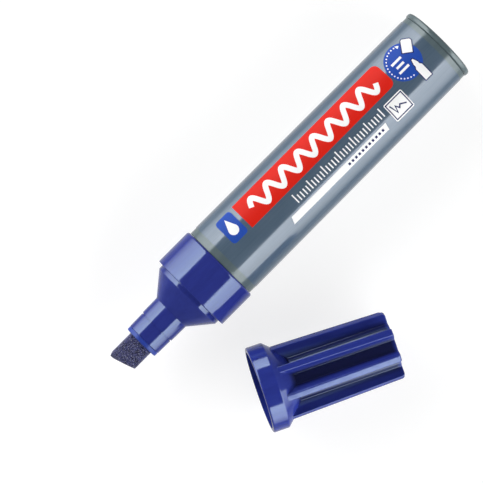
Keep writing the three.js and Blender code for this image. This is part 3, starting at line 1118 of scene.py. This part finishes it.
@dataclass
class Barrel(SubAssembly):
    """The grey barrel and the film round it."""

    front: float = 10.33
    rear: float = 85.43
    front_radius: float = 10.28
    rear_radius: float = 10.09
    bore: float = 9.14
    film_front: float = 12.33
    film_rear: float = 84.03
    film_gap: float = 0.02
    film_thickness: float = 0.08
    seam_angle: float = math.radians(104.0)
    seam_overlap: float = math.radians(9.0)
    seam_climb: float = math.radians(7.0)
    edge_round: float = 0.12

    def radius(self, x: float) -> float:
        """Give the barrel's outer radius at a place along the pen."""
        share = (x - self.front) / (self.rear - self.front)
        return self.front_radius + (self.rear_radius - self.front_radius) * share

    def film_radius(self, x: float) -> float:
        """Give the film's outer radius at a place along the pen."""
        return self.radius(x) + self.film_gap + self.film_thickness

    def build(self) -> None:
        """Turn the tube and wrap the film."""
        tube = turned(
            "barrel_tube",
            [
                Corner(self.front, self.bore),
                Corner(self.front, self.front_radius, self.edge_round),
                Corner(self.rear, self.rear_radius, self.edge_round),
                Corner(self.rear, self.bore),
            ],
            looped=True,
        )
        self.keep(tube, GREY_PLASTIC, Body.PEN, Slot.BARREL, "barrel")
        film = loft(
            "barrel_film",
            [
                self.film_ring(self.film_front, self.film_gap),
                self.film_ring(self.film_front, self.film_gap + self.film_thickness),
                self.film_ring(self.film_rear, self.film_gap + self.film_thickness),
                self.film_ring(self.film_rear, self.film_gap),
            ],
            looped=True,
        )
        self.keep(film, PRINTED_FILM, Body.PEN, Slot.FILM, "wrap")

    def film_ring(self, x: float, lift: float) -> list[Vector]:
        """Draw the film's section, which climbs over its own edge at the seam.

        Args:
            x: Where the ring is along the pen.
            lift: How far it is from the barrel.

        Returns:
            The ring's points, starting at the seam's step.
        """
        points = []
        radius = self.radius(x) + lift
        for index in range(ROUND_STEPS + 1):
            turn = index / ROUND_STEPS * 2 * math.pi
            left = 2 * math.pi - turn
            climb = (self.seam_overlap + self.seam_climb - left) / self.seam_climb
            lift_here = (self.film_thickness + self.film_gap) * min(1.0, max(0.0, climb))
            raised = radius + lift_here
            angle = self.seam_angle + turn
            points.append(Vector((x, raised * math.sin(angle), raised * math.cos(angle))))
        return points


@dataclass
class EndPlug(SubAssembly):
    """Stopper pressed into the barrel's rear."""

    front: float = 79.46
    lip: float = 85.46
    rear: float = REAR_FACE
    spigot_radius: float = 9.10
    spigot_bore: float = 8.25
    lip_radius: float = 10.34
    lip_round: float = 0.55
    rim_width: float = 2.6
    recess: float = 0.4
    gate_radius: float = 1.5
    gate_depth: float = 0.18
    nub_radius: float = 0.45

    def build(self) -> None:
        """Turn the plug, with the dimple and the nub that its moulding gate leaves."""
        floor = self.rear - self.recess
        rim = self.lip_radius - self.rim_width
        piece = turned(
            "rear_plug",
            [
                Corner(self.lip, self.spigot_bore),
                Corner(self.front, self.spigot_bore, 0.15),
                Corner(self.front, self.spigot_radius, 0.3),
                Corner(self.lip, self.spigot_radius),
                Corner(self.lip, self.lip_radius, self.lip_round),
                Corner(self.rear, self.lip_radius, self.lip_round),
                Corner(self.rear, rim, 0.15),
                Corner(floor, rim - self.recess, 0.25),
                Corner(floor, self.gate_radius, 0.1),
                Corner(floor - self.gate_depth, self.gate_radius - self.gate_depth, 0.1),
                Corner(floor - self.gate_depth, self.nub_radius, 0.05),
                Corner(floor - self.gate_depth / 2, self.nub_radius - 0.08, 0.05),
                Corner(floor - self.gate_depth / 2, self.nub_radius / 2),
            ],
            looped=False,
        )
        self.keep(piece, GREY_PLASTIC, Body.PEN, Slot.PLUG, "end_plug")


@dataclass
class Reservoir(SubAssembly):
    """The fibre rod that holds the ink, in its film."""

    nib: NibSizes
    front: float = 0.62
    rear: float = 77.56
    radius: float = 7.96
    film_radius: float = 8.10
    film_gap: float = 0.02
    film_setback: float = 0.3
    pocket_gap: float = 0.15

    def build(self) -> None:
        """Turn the rod, cut the nib's pocket into it and put its film round it."""
        rod = turned(
            "ink_rod",
            [
                Corner(self.front, self.radius / 2),
                Corner(self.front, self.radius, 0.35),
                Corner(self.rear, self.radius, 0.35),
                Corner(self.rear, self.radius / 2),
            ],
            looped=False,
        )
        pocket = self.nib.bar(
            "pocket", self.front - OVERRUN, self.nib.tail + self.pocket_gap, self.pocket_gap
        )
        carve(rod, pocket, Cut.TAKE_AWAY)
        self.keep(rod, CORE_FIBRE, Body.PEN, Slot.CORE, "reservoir_core")
        sleeve = turned(
            "ink_rod_film",
            [
                Corner(self.front + self.film_setback, self.radius + self.film_gap),
                Corner(self.front + self.film_setback, self.film_radius),
                Corner(self.rear - self.film_setback, self.film_radius),
                Corner(self.rear - self.film_setback, self.radius + self.film_gap),
            ],
            looped=True,
        )
        self.keep(sleeve, CORE_FILM, Body.PEN, Slot.CORE_FILM, "reservoir_wrap")


@dataclass
class RidgedOutline:
    """The cap's ridged section: round floors, straight walls and round tops.

    Attributes:
        ridges: How many ridges there are.
        floor: Radius of the grooves' floors.
        floor_angle: Half the angle that a floor spans.
        top: Radius of the tops that the walls are drawn to.
        top_width: Width of a ridge there.
        root_round: Rounding between a floor and a wall.
        edge_round: Rounding of a ridge's edges.
        floor_points: How many points half a floor has.
        root_points: How many steps a root's rounding has.
        edge_points: How many steps an edge's rounding has.
    """

    ridges: int = 8
    floor: float = 6.561
    floor_angle: float = math.radians(11.8)
    top: float = 9.80
    top_width: float = 1.6
    root_round: float = 0.3
    edge_round: float = 0.28
    floor_points: int = 4
    root_points: int = 5
    edge_points: int = 6

    def points(self, top: float, inset: float = 0.0, edge: float | None = None) -> list[Vector]:
        """Draw the section.

        Args:
            top: Radius of the ridges' tops.
            inset: How far the whole outline is moved into the material.
            edge: Rounding of the ridges' edges, where it isn't the usual one.

        Returns:
            The section's points, as (Y, Z).
        """
        half = self.half_groove(top - inset, inset, self.edge_round if edge is None else edge)
        points = []
        for index in range(self.ridges):
            turn = Matrix.Rotation(-2 * math.pi * index / self.ridges, 2)
            points += [turn @ Vector((-point.x, point.y)) for point in reversed(half[1:])]
            points += [turn @ point for point in half]
        return points

    def half_groove(self, top: float, inset: float, edge: float) -> list[Vector]:
        """Draw half a groove, from the middle of its floor to beside a ridge's middle.

        Args:
            top: Radius of the ridge's top.
            inset: How far the wall and the floor are moved into the material.
            edge: Rounding of the ridge's edge.

        Returns:
            The points, with the groove's middle on +Y of a plane.
        """
        middle = math.pi / self.ridges
        edge_angle = middle - math.asin(self.top_width / 2 / self.top)
        foot = polar(self.floor, self.floor_angle)
        along = (polar(self.top, edge_angle) - foot).normalized()
        foot += Vector((along.y, -along.x)) * inset
        root = on_circle(foot, along, self.floor - inset)
        crest = on_circle(foot, along, top)
        root_angle = math.atan2(root.x, root.y)
        crest_angle = math.atan2(crest.x, crest.y)
        points = []
        for step in range(self.floor_points):
            share = step / self.floor_points
            points.append(polar(self.floor - inset, 0.8 * root_angle * share))
        points += fillet(points[-1], root, crest, self.root_round, self.root_points)
        crown = polar(top * math.cos(middle - crest_angle), middle)
        rounding = fillet(root, crest, crown, edge, self.edge_points)
        points.append(rounding[0] + (root - crest).normalized() * GUARD)
        points += rounding
        points += [rounding[-1].lerp(crown, share) for share in (0.12, 0.6)]
        return points


def polar(radius: float, angle: float) -> Vector:
    """Give the flat point at a radius, turned from +Y by an angle."""
    return Vector((math.sin(angle), math.cos(angle))) * radius


def rim_point(centre: Vector, radius: float, angle: float) -> Vector:
    """Give the flat point on a circle at an angle from +X."""
    return centre + Vector((math.cos(angle), math.sin(angle))) * radius


def on_circle(start: Vector, along: Vector, radius: float) -> Vector:
    """Follow a flat line to a circle about the origin.

    Args:
        start: A point on the line.
        along: The line's direction, of length 1.
        radius: The circle's radius.

    Returns:
        Where the line leaves the circle.
    """
    lean = start.dot(along)
    return start + along * (math.sqrt(lean**2 - start.length_squared + radius**2) - lean)


@dataclass
class Cap(SubAssembly):
    """The ridged blue cap and the seal cup inside it."""

    outline: RidgedOutline
    length: float = CAP_LENGTH
    mouth_radius: float = 11.0
    band: float = 4.1
    band_round: float = 0.4
    cone_rear: float = 9.5
    cone_slope: float = math.tan(math.radians(43.0))
    ridge_front: float = 9.80
    ridge_rear: float = 9.05
    ridge_start: float = 5.39
    end_round: float = 0.8
    groove_end_round: float = 0.2
    wall: float = 0.9
    bore: float = 9.85
    bore_depth: float = 1.45
    step_radius: float = 9.55
    inner_cone_front: float = 4.04
    inner_cone_rear: float = 8.919
    inner_cone_end: float = 5.0
    end_wall: float = 1.2
    liner_front: float = 7.05
    liner_flange_rear: float = 7.55
    liner_rear: float = 27.28
    liner_bore: float = 5.201
    liner_radius: float = 5.621
    liner_flange: float = 5.971
    liner_floor: float = 0.8
    fit: float = 0.04

    def ring(self, x: float, top: float, inset: float = 0.0) -> list[Vector]:
        """Place the ridged outline at a station along the cap.

        Args:
            x: The station.
            top: Radius of the ridges' tops there.
            inset: How far the outline is moved into the material.

        Returns:
            The ring's points.
        """
        return [Vector((x, point.x, point.y)) for point in self.outline.points(top, inset)]

    def build(self) -> None:
        """Model the shell and the liner."""
        shell = self.band_and_cone()
        carve(shell, self.ridged_body(), Cut.ADD)
        room = self.mouth_room()
        carve(room, self.body_room(), Cut.ADD)
        carve(shell, room, Cut.TAKE_AWAY)
        self.keep(shell, CAP_PLASTIC, Body.CAP, Slot.BLUE, "cap_shell")
        liner = turned(
            "cap_seal",
            [
                Corner(self.liner_rear, self.liner_radius / 2),
                Corner(self.liner_rear, self.liner_radius, 0.3),
                Corner(self.liner_flange_rear, self.liner_radius),
                Corner(self.liner_flange_rear, self.liner_flange, 0.08),
                Corner(self.liner_front, self.liner_flange, 0.08),
                Corner(self.liner_front, self.liner_bore, 0.15),
                Corner(self.liner_rear - self.liner_floor, self.liner_bore, 0.2),
                Corner(self.liner_rear - self.liner_floor, self.liner_bore / 2),
            ],
            looped=False,
        )
        self.keep(liner, LINER_PLASTIC, Body.CAP, Slot.LINER, "cap_liner")

    def band_and_cone(self) -> bpy.types.Object:
        """Turn the plain band and the cone behind it, as one solid."""
        cone_radius = self.mouth_radius - (self.cone_rear - self.band) * self.cone_slope
        return turned(
            "cap_moulding",
            [
                Corner(0.0, self.mouth_radius / 2),
                Corner(0.0, self.mouth_radius, self.band_round),
                Corner(self.band, self.mouth_radius, self.band_round),
                Corner(self.cone_rear, cone_radius),
                Corner(self.cone_rear, cone_radius / 2),
            ],
            looped=False,
        )

    def ridged_body(self) -> bpy.types.Object:
        """Draw the ridged body, with its far edges rounded."""
        stations = [
            (self.band / 2, self.ridge_front, 0.0),
            (self.ridge_start, self.ridge_front, 0.0),
            (self.length - self.end_round - GUARD, self.ridge_rear, 0.0),
        ]
        for share in (0.0, 0.2, 0.38, 0.54, 0.68, 0.78, 0.86, 0.92, 0.97, 1.0):
            x = self.length - self.end_round * (1.0 - share)
            fall = self.end_round * (1.0 - math.sqrt(1.0 - share**2))
            late = max(0.0, 1.0 - (self.length - x) / self.groove_end_round)
            inset = self.groove_end_round * (1.0 - math.sqrt(1.0 - late**2))
            stations.append((x, self.ridge_rear - fall + inset, inset))
        return loft("ridges", [self.ring(*station) for station in stations])

    def mouth_room(self) -> bpy.types.Object:
        """Turn the room inside the mouth: the bore, the step and the inner cone."""
        return turned(
            "mouth_room",
            [
                Corner(self.inner_cone_rear, self.inner_cone_end / 2),
                Corner(self.inner_cone_rear, self.inner_cone_end),
                Corner(self.inner_cone_front, self.step_radius, 0.2),
                Corner(self.bore_depth, self.step_radius, 0.1),
                Corner(self.bore_depth, self.bore),
                Corner(-OVERRUN, self.bore),
                Corner(-OVERRUN, self.bore / 2),
            ],
            looped=False,
        )

    def body_room(self) -> bpy.types.Object:
        """Draw the room inside the ridged body, with the liner's seat."""
        start = self.bore_depth + OVERRUN
        end = self.length - self.end_wall
        section = self.outline.points(self.ridge_rear, self.wall, edge=0.05)
        room = prism("body_room", section, start, end)
        seat = turned(
            "seat",
            [
                Corner(start + OVERRUN, self.liner_bore),
                Corner(start + OVERRUN, self.liner_flange + self.fit),
                Corner(self.liner_flange_rear + self.fit, self.liner_flange + self.fit),
                Corner(self.liner_flange_rear + self.fit, self.liner_bore),
            ],
            looped=False,
        )
        carve(room, seat, Cut.ADD)
        return room


# ---------------------------------------------------------------------------
# Printing
# ---------------------------------------------------------------------------


@dataclass
class Artwork(SubAssembly):
    """The four printed colours on the barrel's film.

    A layout place is (along the pen, across it as seen from above), in millimetres. A
    motif's `low` and `high` are the opposite corners of its rectangle.
    """

    barrel: Barrel
    strip_width: float = 0.4
    sink: float = 0.05
    layer: float = 0.015
    panel_low: Spot = (21.94, 0.5)
    panel_high: Spot = (71.35, 7.6)
    panel_round: float = 1.5
    wave_ends: Spot = (25.3, 68.0)
    wave_across: float = 4.05
    wave_height: float = 1.75
    wave_periods: int = 8
    wave_width: float = 1.35
    swatch_low: Spot = (15.93, 0.6)
    swatch_high: Spot = (20.86, 7.5)
    drop_middle: Spot = (18.4, 3.4)
    drop_radius: float = 1.35
    drop_point: float = 3.2
    badge_middle: Spot = (76.4, 2.86)
    badge_radius: float = 4.76
    dot_circle: float = 4.1
    dot_radius: float = 0.19
    pen_foot: Spot = (78.3, -4.1)
    cap_middle: Spot = (79.85, 5.1)
    cap_lean: float = math.radians(-38.0)
    icon_edge: float = 0.5
    tick_start: float = 34.3
    tick_pitch: float = 0.985
    tick_foot: float = -3.3
    square_start: float = 49.4
    square_pitch: float = 1.15
    sheet_low: Spot = (65.2, -6.5)
    sheet_high: Spot = (71.2, -1.2)

    def __post_init__(self) -> None:
        """Start with no shapes drawn."""
        super().__post_init__()
        self.inks: dict[Ink, list[bpy.types.Object]] = {}

    def plate(self, ink: Ink, level: int, corners: Sequence[Corner]) -> None:
        """Print a filled outline.

        Args:
            ink: The ink.
            level: How many layers of ink up its face is.
            corners: The outline's corners.
        """
        outline = soften(corners, looped=True)
        rings = [
            [Vector((point.x, point.y, height)) for point in outline]
            for height in (-self.sink, level * self.layer)
        ]
        self.print_shape(ink, loft("plate", rings))

    def box(self, ink: Ink, level: int, low: Spot, high: Spot, rounding: float) -> None:
        """Print a filled rectangle with four round corners.

        Args:
            ink: The ink.
            level: How many layers of ink up its face is.
            low: Its lower corner at the front.
            high: Its upper corner at the rear.
            rounding: The radius of its corners.
        """
        places = (low, (high[0], low[1]), high, (low[0], high[1]))
        self.plate(ink, level, [Corner(*place, rounding) for place in places])

    def disc(self, ink: Ink, level: int, centre: Vector, radius: float, sides: int) -> None:
        """Print a filled circle.

        Args:
            ink: The ink.
            level: How many layers of ink up its face is.
            centre: Its middle.
            radius: Its radius.
            sides: How many sides it is drawn with.
        """
        step = 2 * math.pi / sides
        corners = [
            Corner(centre.x + radius * math.cos(k * step), centre.y + radius * math.sin(k * step))
            for k in range(sides)
        ]
        self.plate(ink, level, corners)

    def stroke(
        self, ink: Ink, level: int, path: Sequence[Vector], width: float, looped: bool = False
    ) -> None:
        """Print a line of even width.

        Args:
            ink: The ink.
            level: How many layers of ink up its face is.
            path: Points along the line's middle.
            width: Its width.
            looped: Whether its end joins its start.
        """
        rings = []
        last = len(path) - 1
        for index, point in enumerate(path):
            before = path[index - 1] if looped or index > 0 else point
            after = path[(index + 1) % len(path)] if looped or index < last else point
            first = (point - before).normalized() if before != point else (after - point)
            second = (after - point).normalized() if after != point else first
            first = first.normalized()
            along = (first + second).normalized()
            side = Vector((-along.y, along.x)) * (width / 2 / max(0.5, along.dot(second)))
            low, high = -self.sink, level * self.layer
            rings.append(
                [
                    Vector((*(point + side), low)),
                    Vector((*(point - side), low)),
                    Vector((*(point - side), high)),
                    Vector((*(point + side), high)),
                ]
            )
        self.print_shape(ink, loft("stroke", rings, looped))

    def print_shape(self, ink: Ink, shape: bpy.types.Object) -> None:
        """Cut a flat shape into strips and lay it round the film.

        Args:
            ink: The ink that it is printed with.
            shape: The flat shape.
        """
        values = [vertex.co.y for vertex in shape.data.vertices]
        first = math.ceil(min(values) / self.strip_width)
        last = math.floor(max(values) / self.strip_width)
        take_up(shape)
        bpy.ops.object.mode_set(mode="EDIT")
        for index in range(first, last + 1):
            bpy.ops.mesh.select_all(action="SELECT")
            level = index * self.strip_width
            bpy.ops.mesh.bisect(plane_co=(0.0, level, 0.0), plane_no=(0.0, 1.0, 0.0))
        bpy.ops.object.mode_set(mode="OBJECT")
        for vertex in shape.data.vertices:
            x, across, lift = vertex.co
            radius = self.barrel.film_radius(x)
            angle = math.asin(across / radius)
            reach = radius + lift
            vertex.co = (x, reach * math.sin(angle), reach * math.cos(angle))
        self.inks.setdefault(ink, []).append(shape)

    def build(self) -> None:
        """Print each motif, one ink after another."""
        self.panel_with_wave()
        self.swatch_with_drop()
        self.badge()
        self.ruler()
        self.strip()
        self.sheet()
        for ink, shapes in self.inks.items():
            piece = joined(f"print_{ink.name}", shapes)
            self.keep(piece, ink, Body.PEN, Slot.FILM)

    def panel_with_wave(self) -> None:
        """Print the red panel, with a bold white wave along it."""
        front, rear = self.panel_low[0], self.panel_high[0]
        corners = [
            Corner(front, self.panel_low[1]),
            Corner(rear, self.panel_low[1], self.panel_round),
            Corner(rear, self.panel_high[1], self.panel_round),
            Corner(front, self.panel_high[1]),
        ]
        self.plate(RED_INK, 1, corners)
        start, end = self.wave_ends
        steps = self.wave_periods * 24
        path = []
        for step in range(steps + 1):
            share = step / steps
            swing = math.sin(share * self.wave_periods * 2 * math.pi)
            across = self.wave_across + self.wave_height * swing
            path.append(Vector((start + (end - start) * share, across)))
        self.stroke(WHITE_INK, 2, path, self.wave_width)

    def swatch_with_drop(self) -> None:
        """Print the ink colour's swatch, with a white drop on it."""
        self.box(BLUE_INK, 1, self.swatch_low, self.swatch_high, 0.9)
        middle = Vector(self.drop_middle)
        drop = [
            rim_point(middle, self.drop_radius, math.radians(-215.0 + 250.0 * step / 28))
            for step in range(29)
        ]
        drop.append(middle + Vector((0.0, self.drop_point)))
        self.plate(WHITE_INK, 2, [Corner(place.x, place.y) for place in drop])

    def badge(self) -> None:
        """Print the round badge: a ring of dots, three bars, a cap and a pen."""
        centre = Vector(self.badge_middle)
        self.disc(BLUE_INK, 1, centre, self.badge_radius, 72)
        for index in range(17):
            place = rim_point(centre, self.dot_circle, math.radians(78.0 + index * 11.6))
            self.disc(WHITE_INK, 2, place, self.dot_radius, 12)
        tip = rim_point(centre, self.dot_circle, math.radians(66.0))
        arrow = [Corner(tip.x + 0.5, tip.y - 0.15), Corner(tip.x - 0.35, tip.y + 0.45)]
        self.plate(WHITE_INK, 2, [*arrow, Corner(tip.x - 0.3, tip.y - 0.5)])
        for row, (left, right) in enumerate(((-2.7, 0.5), (-2.3, 0.1), (-2.7, 0.5))):
            across = centre.y + 1.3 - 1.35 * row
            path = [Vector((centre.x + left, across)), Vector((centre.x + right, across))]
            self.stroke(WHITE_INK, 2, path, 0.62)
        self.pen_icon(Vector(self.pen_foot))
        self.cap_icon(Vector(self.cap_middle), self.cap_lean)

    def pen_icon(self, foot: Vector) -> None:
        """Print an upright pen in white with a dark edge.

        Args:
            foot: The middle of its lower end.
        """
        shape = [
            (-1.0, 0.0),
            (1.0, 0.0),
            (1.0, 3.5),
            (0.62, 4.0),
            (0.62, 4.7),
            (0.2, 5.9),
            (-0.2, 5.9),
            (-0.62, 4.7),
            (-0.62, 4.0),
            (-1.0, 3.5),
        ]
        path = [foot + Vector(point) for point in shape]
        self.edged(path)

    def edged(self, path: Sequence[Vector]) -> None:
        """Print a white shape with a dark edge round it."""
        self.stroke(DARK_INK, 2, path, self.icon_edge, looped=True)
        self.plate(WHITE_INK, 3, [Corner(point.x, point.y) for point in path])

    def cap_icon(self, middle: Vector, lean: float) -> None:
        """Print a loose cap in white with a dark edge.

        Args:
            middle: Its middle.
            lean: How far it leans over.
        """
        turn = Matrix.Rotation(lean, 2)
        shape = [(-1.25, -1.7), (1.25, -1.7), (1.25, 1.3), (0.9, 1.7), (-0.9, 1.7), (-1.25, 1.3)]
        path = [middle + turn @ Vector(point) for point in shape]
        self.edged(path)

    def ruler(self) -> None:
        """Print a row of fine ticks, each fifth one longer."""
        for index in range(31):
            x = self.tick_start + self.tick_pitch * index
            top = -0.7 if index % 5 == 0 else -1.5
            self.stroke(WHITE_INK, 1, [Vector((x, self.tick_foot)), Vector((x, top))], 0.34)

    def strip(self) -> None:
        """Print the white strip with slanted ends and a row of dark squares."""
        corners = [
            Corner(29.8, -6.25),
            Corner(62.5, -6.25),
            Corner(62.9, -4.45),
            Corner(30.5, -4.45),
        ]
        self.plate(WHITE_INK, 1, corners)
        for index in range(11):
            x = self.square_start + self.square_pitch * index
            self.stroke(DARK_INK, 2, [Vector((x, -5.35)), Vector((x + 0.6, -5.35))], 0.62)

    def sheet(self) -> None:
        """Print the white sheet with a dark frame and a drawn line."""
        self.box(WHITE_INK, 1, self.sheet_low, self.sheet_high, 0.4)
        frame = [(65.6, -6.05), (70.8, -6.05), (70.8, -1.65), (65.6, -1.65)]
        self.stroke(DARK_INK, 2, [Vector(point) for point in frame], 0.28, looped=True)
        line = [(66.3, -2.4), (66.9, -4.9), (67.4, -3.3), (68.0, -4.3), (68.6, -3.7), (70.1, -4.6)]
        self.stroke(DARK_INK, 2, [Vector(point) for point in line], 0.34)


# ---------------------------------------------------------------------------
# Studio
# ---------------------------------------------------------------------------


@dataclass
class Studio:
    """Floor, lights and camera.

    Attributes:
        pen: The pen's place, which the camera is set from.
        aim: Where the camera's axis meets the pen's, along the pen in millimetres.
        height: Height of the camera above that point in metres.
        heading: How far the view is turned about the upright.
        lens: Focal length in millimetres.
        floor_side: Side of the floor in metres.
        box_distance: Distance of each softbox from the middle in metres.
        box_width: Width of each softbox in metres.
        box_height: Height of each softbox in metres, part of it under the floor's level,
            where only the marker's shine shows it.
        box_top_edge: Height of its upper edge in metres.
        box_turn: How far each softbox is turned about the upright.
        box_light: Radiance of each softbox where it is brightest.
        box_profile: Pairs of a share of its height and the share of its light there.
        ceiling_light: Radiance of the room overhead.
        wall_light: Radiance of the room at the horizon.
        ground_light: Radiance of the ground as the marker's shine shows it.
        ceiling_from: Rise of a direction from which the room is as dim as overhead.
        ground_rises: Rises of a direction between which the ground grows to its full light.
        backdrop_light: Radiance of the screen round the floor.
        backdrop_height: Height of that screen in metres.
    """

    pen: Place
    aim: float = 17.78
    height: float = 0.722
    heading: float = math.radians(-45.17)
    lens: float = 218.4
    floor_side: float = 8.0
    box_distance: float = 0.6
    box_width: float = 1.1
    box_height: float = 0.9
    box_top_edge: float = 0.64
    box_turn: float = math.radians(18.0)
    box_light: float = 5.2
    box_profile: Profile = ((0.0, 0.08), (0.34, 0.62), (0.93, 1.0), (0.98, 0.0))
    ceiling_light: float = 0.04
    wall_light: float = 0.10
    ground_light: float = 0.45
    ceiling_from: float = 0.65
    ground_rises: tuple[float, float] = (-0.3, -0.9)
    backdrop_light: float = 0.85
    backdrop_height: float = 8.0

    def build(self) -> None:
        """Set up the studio."""
        self.add_floor()
        self.add_backdrop()
        self.add_light()
        self.add_camera()

    def add_floor(self) -> None:
        """Lay the plain floor."""
        clear_selection()
        bpy.ops.mesh.primitive_plane_add(size=self.floor_side)
        floor = bpy.context.active_object
        floor.name = "floor"
        PLAIN_FLOOR.put_on(floor, Place(Matrix.Scale(MM, 4)))
        floor.visible_glossy = False

    def add_backdrop(self) -> None:
        """Stand a pale round screen at the floor's edge that casts no light."""
        clear_selection()
        bpy.ops.mesh.primitive_cylinder_add(
            vertices=ROUND_STEPS,
            radius=self.floor_side / 2,
            depth=self.backdrop_height,
            end_fill_type="NOTHING",
        )
        screen = bpy.context.active_object
        screen.name = "backdrop"
        screen.data.materials.append(self.glow("backdrop", self.backdrop_light, EVEN, 1.0))
        screen.visible_diffuse = False
        screen.visible_glossy = False
        screen.visible_shadow = False

    def add_light(self) -> None:
        """Stand a softbox on either side and dim the sky overhead."""
        for name, side in (("softbox_left", 1.0), ("softbox_right", -1.0)):
            clear_selection()
            bpy.ops.mesh.primitive_plane_add(
                size=1.0,
                location=(0.0, side * self.box_distance, self.box_top_edge - self.box_height / 2),
                rotation=(side * math.pi / 2, 0.0, self.box_turn),
            )
            box = bpy.context.active_object
            box.name = name
            box.scale = (self.box_width, self.box_height, 1.0)
            box.data.materials.append(self.glow(name, self.box_light, self.box_profile, side))
            box.visible_camera = False
        self.add_sky()
        bpy.context.scene.view_settings.view_transform = "Standard"

    def glow(
        self, name: str, light: float, profile: Profile, side: float
    ) -> bpy.types.Material:
        """Make lit cloth whose light changes from its foot to its top.

        Args:
            name: The material's name.
            light: Radiance where it is brightest.
            profile: Pairs of a share of its height and the share of its light there.
            side: Which way up its own Y axis stands.

        Returns:
            The material.
        """
        material = bpy.data.materials.new(name)
        material.use_nodes = True
        tree = Nodes(material.node_tree)
        tree.nodes.remove(tree.nodes["Principled BSDF"])
        split = tree.add("SeparateXYZ", Vector=tree.add("TexCoord").outputs["Object"])
        foot, top = -0.5 * side, 0.5 * side
        height = tree.add("MapRange", Value=split.outputs["Y"], From_Min=foot, From_Max=top)
        ramp = tree.add("ValToRGB", Fac=height.outputs["Result"])
        stops = ramp.color_ramp.elements
        for index, (place, share) in enumerate(profile):
            stop = stops[index] if index < len(stops) else stops.new(place)
            stop.position = place
            stop.color = (share, share, share, 1.0)
        lamp = tree.add("Emission", Color=ramp.outputs["Color"], Strength=light)
        tree.feed(tree.nodes["Material Output"].inputs["Surface"], lamp.outputs["Emission"])
        return material

    def add_sky(self) -> None:
        """Surround the studio with dim walls and ceiling over paler ground."""
        world = bpy.data.worlds.new("studio")
        world.use_nodes = True
        tree = Nodes(world.node_tree)
        split = tree.add("SeparateXYZ", Vector=tree.add("TexCoord").outputs["Generated"])
        rise = split.outputs["Z"]
        both = tree.add("Math")
        for socket, start, end, low, high in (
            (both.inputs[0], 0.0, self.ceiling_from, self.wall_light, self.ceiling_light),
            (both.inputs[1], *self.ground_rises, 0.0, self.ground_light),
        ):
            ramp = tree.add(
                "MapRange", Value=rise, From_Min=start, From_Max=end, To_Min=low, To_Max=high
            )
            tree.feed(socket, ramp.outputs["Result"])
        sky = tree.nodes["Background"]
        tree.feed(sky.inputs["Strength"], both.outputs["Value"])
        tree.feed(sky.inputs["Color"], (1.0, 1.0, 1.0))
        bpy.context.scene.world = world

    def add_camera(self) -> None:
        """Hang the camera straight above the pen."""
        data = bpy.data.cameras.new("camera")
        data.lens = self.lens
        data.sensor_width = 36.0
        data.clip_start = 0.05
        data.clip_end = 30.0
        camera = bpy.data.objects.new("camera", data)
        bpy.context.scene.collection.objects.link(camera)
        camera.location = self.pen.at(self.aim, 0.0, 0.0) + Vector((0.0, 0.0, self.height))
        camera.rotation_euler = (0.0, 0.0, self.heading)
        bpy.context.scene.camera = camera


def main() -> None:
    """Build the marker round its frame, dress it and set up the studio."""
    logging.basicConfig(level=logging.INFO, format="%(name)s %(message)s")
    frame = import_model()
    record = frame["record"]
    rim, pen_heading = mount(record, "rear_face")
    pen = Place.along(pen_heading, rim, REAR_FACE, REAR_FACE_ABOVE)
    cap_end, cap_heading = mount(record, "cap_end_face")
    cap = Place.along(cap_heading, cap_end, CAP_LENGTH, 0.0)
    nib_sizes = NibSizes()
    barrel = Barrel(pen)
    assemblies: list[SubAssembly] = [
        FrontSection(pen),
        barrel,
        Artwork(pen, barrel),
        EndPlug(pen),
        Reservoir(pen, nib_sizes),
        NibUnit(pen, nib_sizes),
        Cap(cap, RidgedOutline()),
    ]
    for assembly in assemblies:
        assembly.build()
        assembly.dress()
    Studio(pen).build()
    clear_selection()


if __name__ == "__main__":
    main()
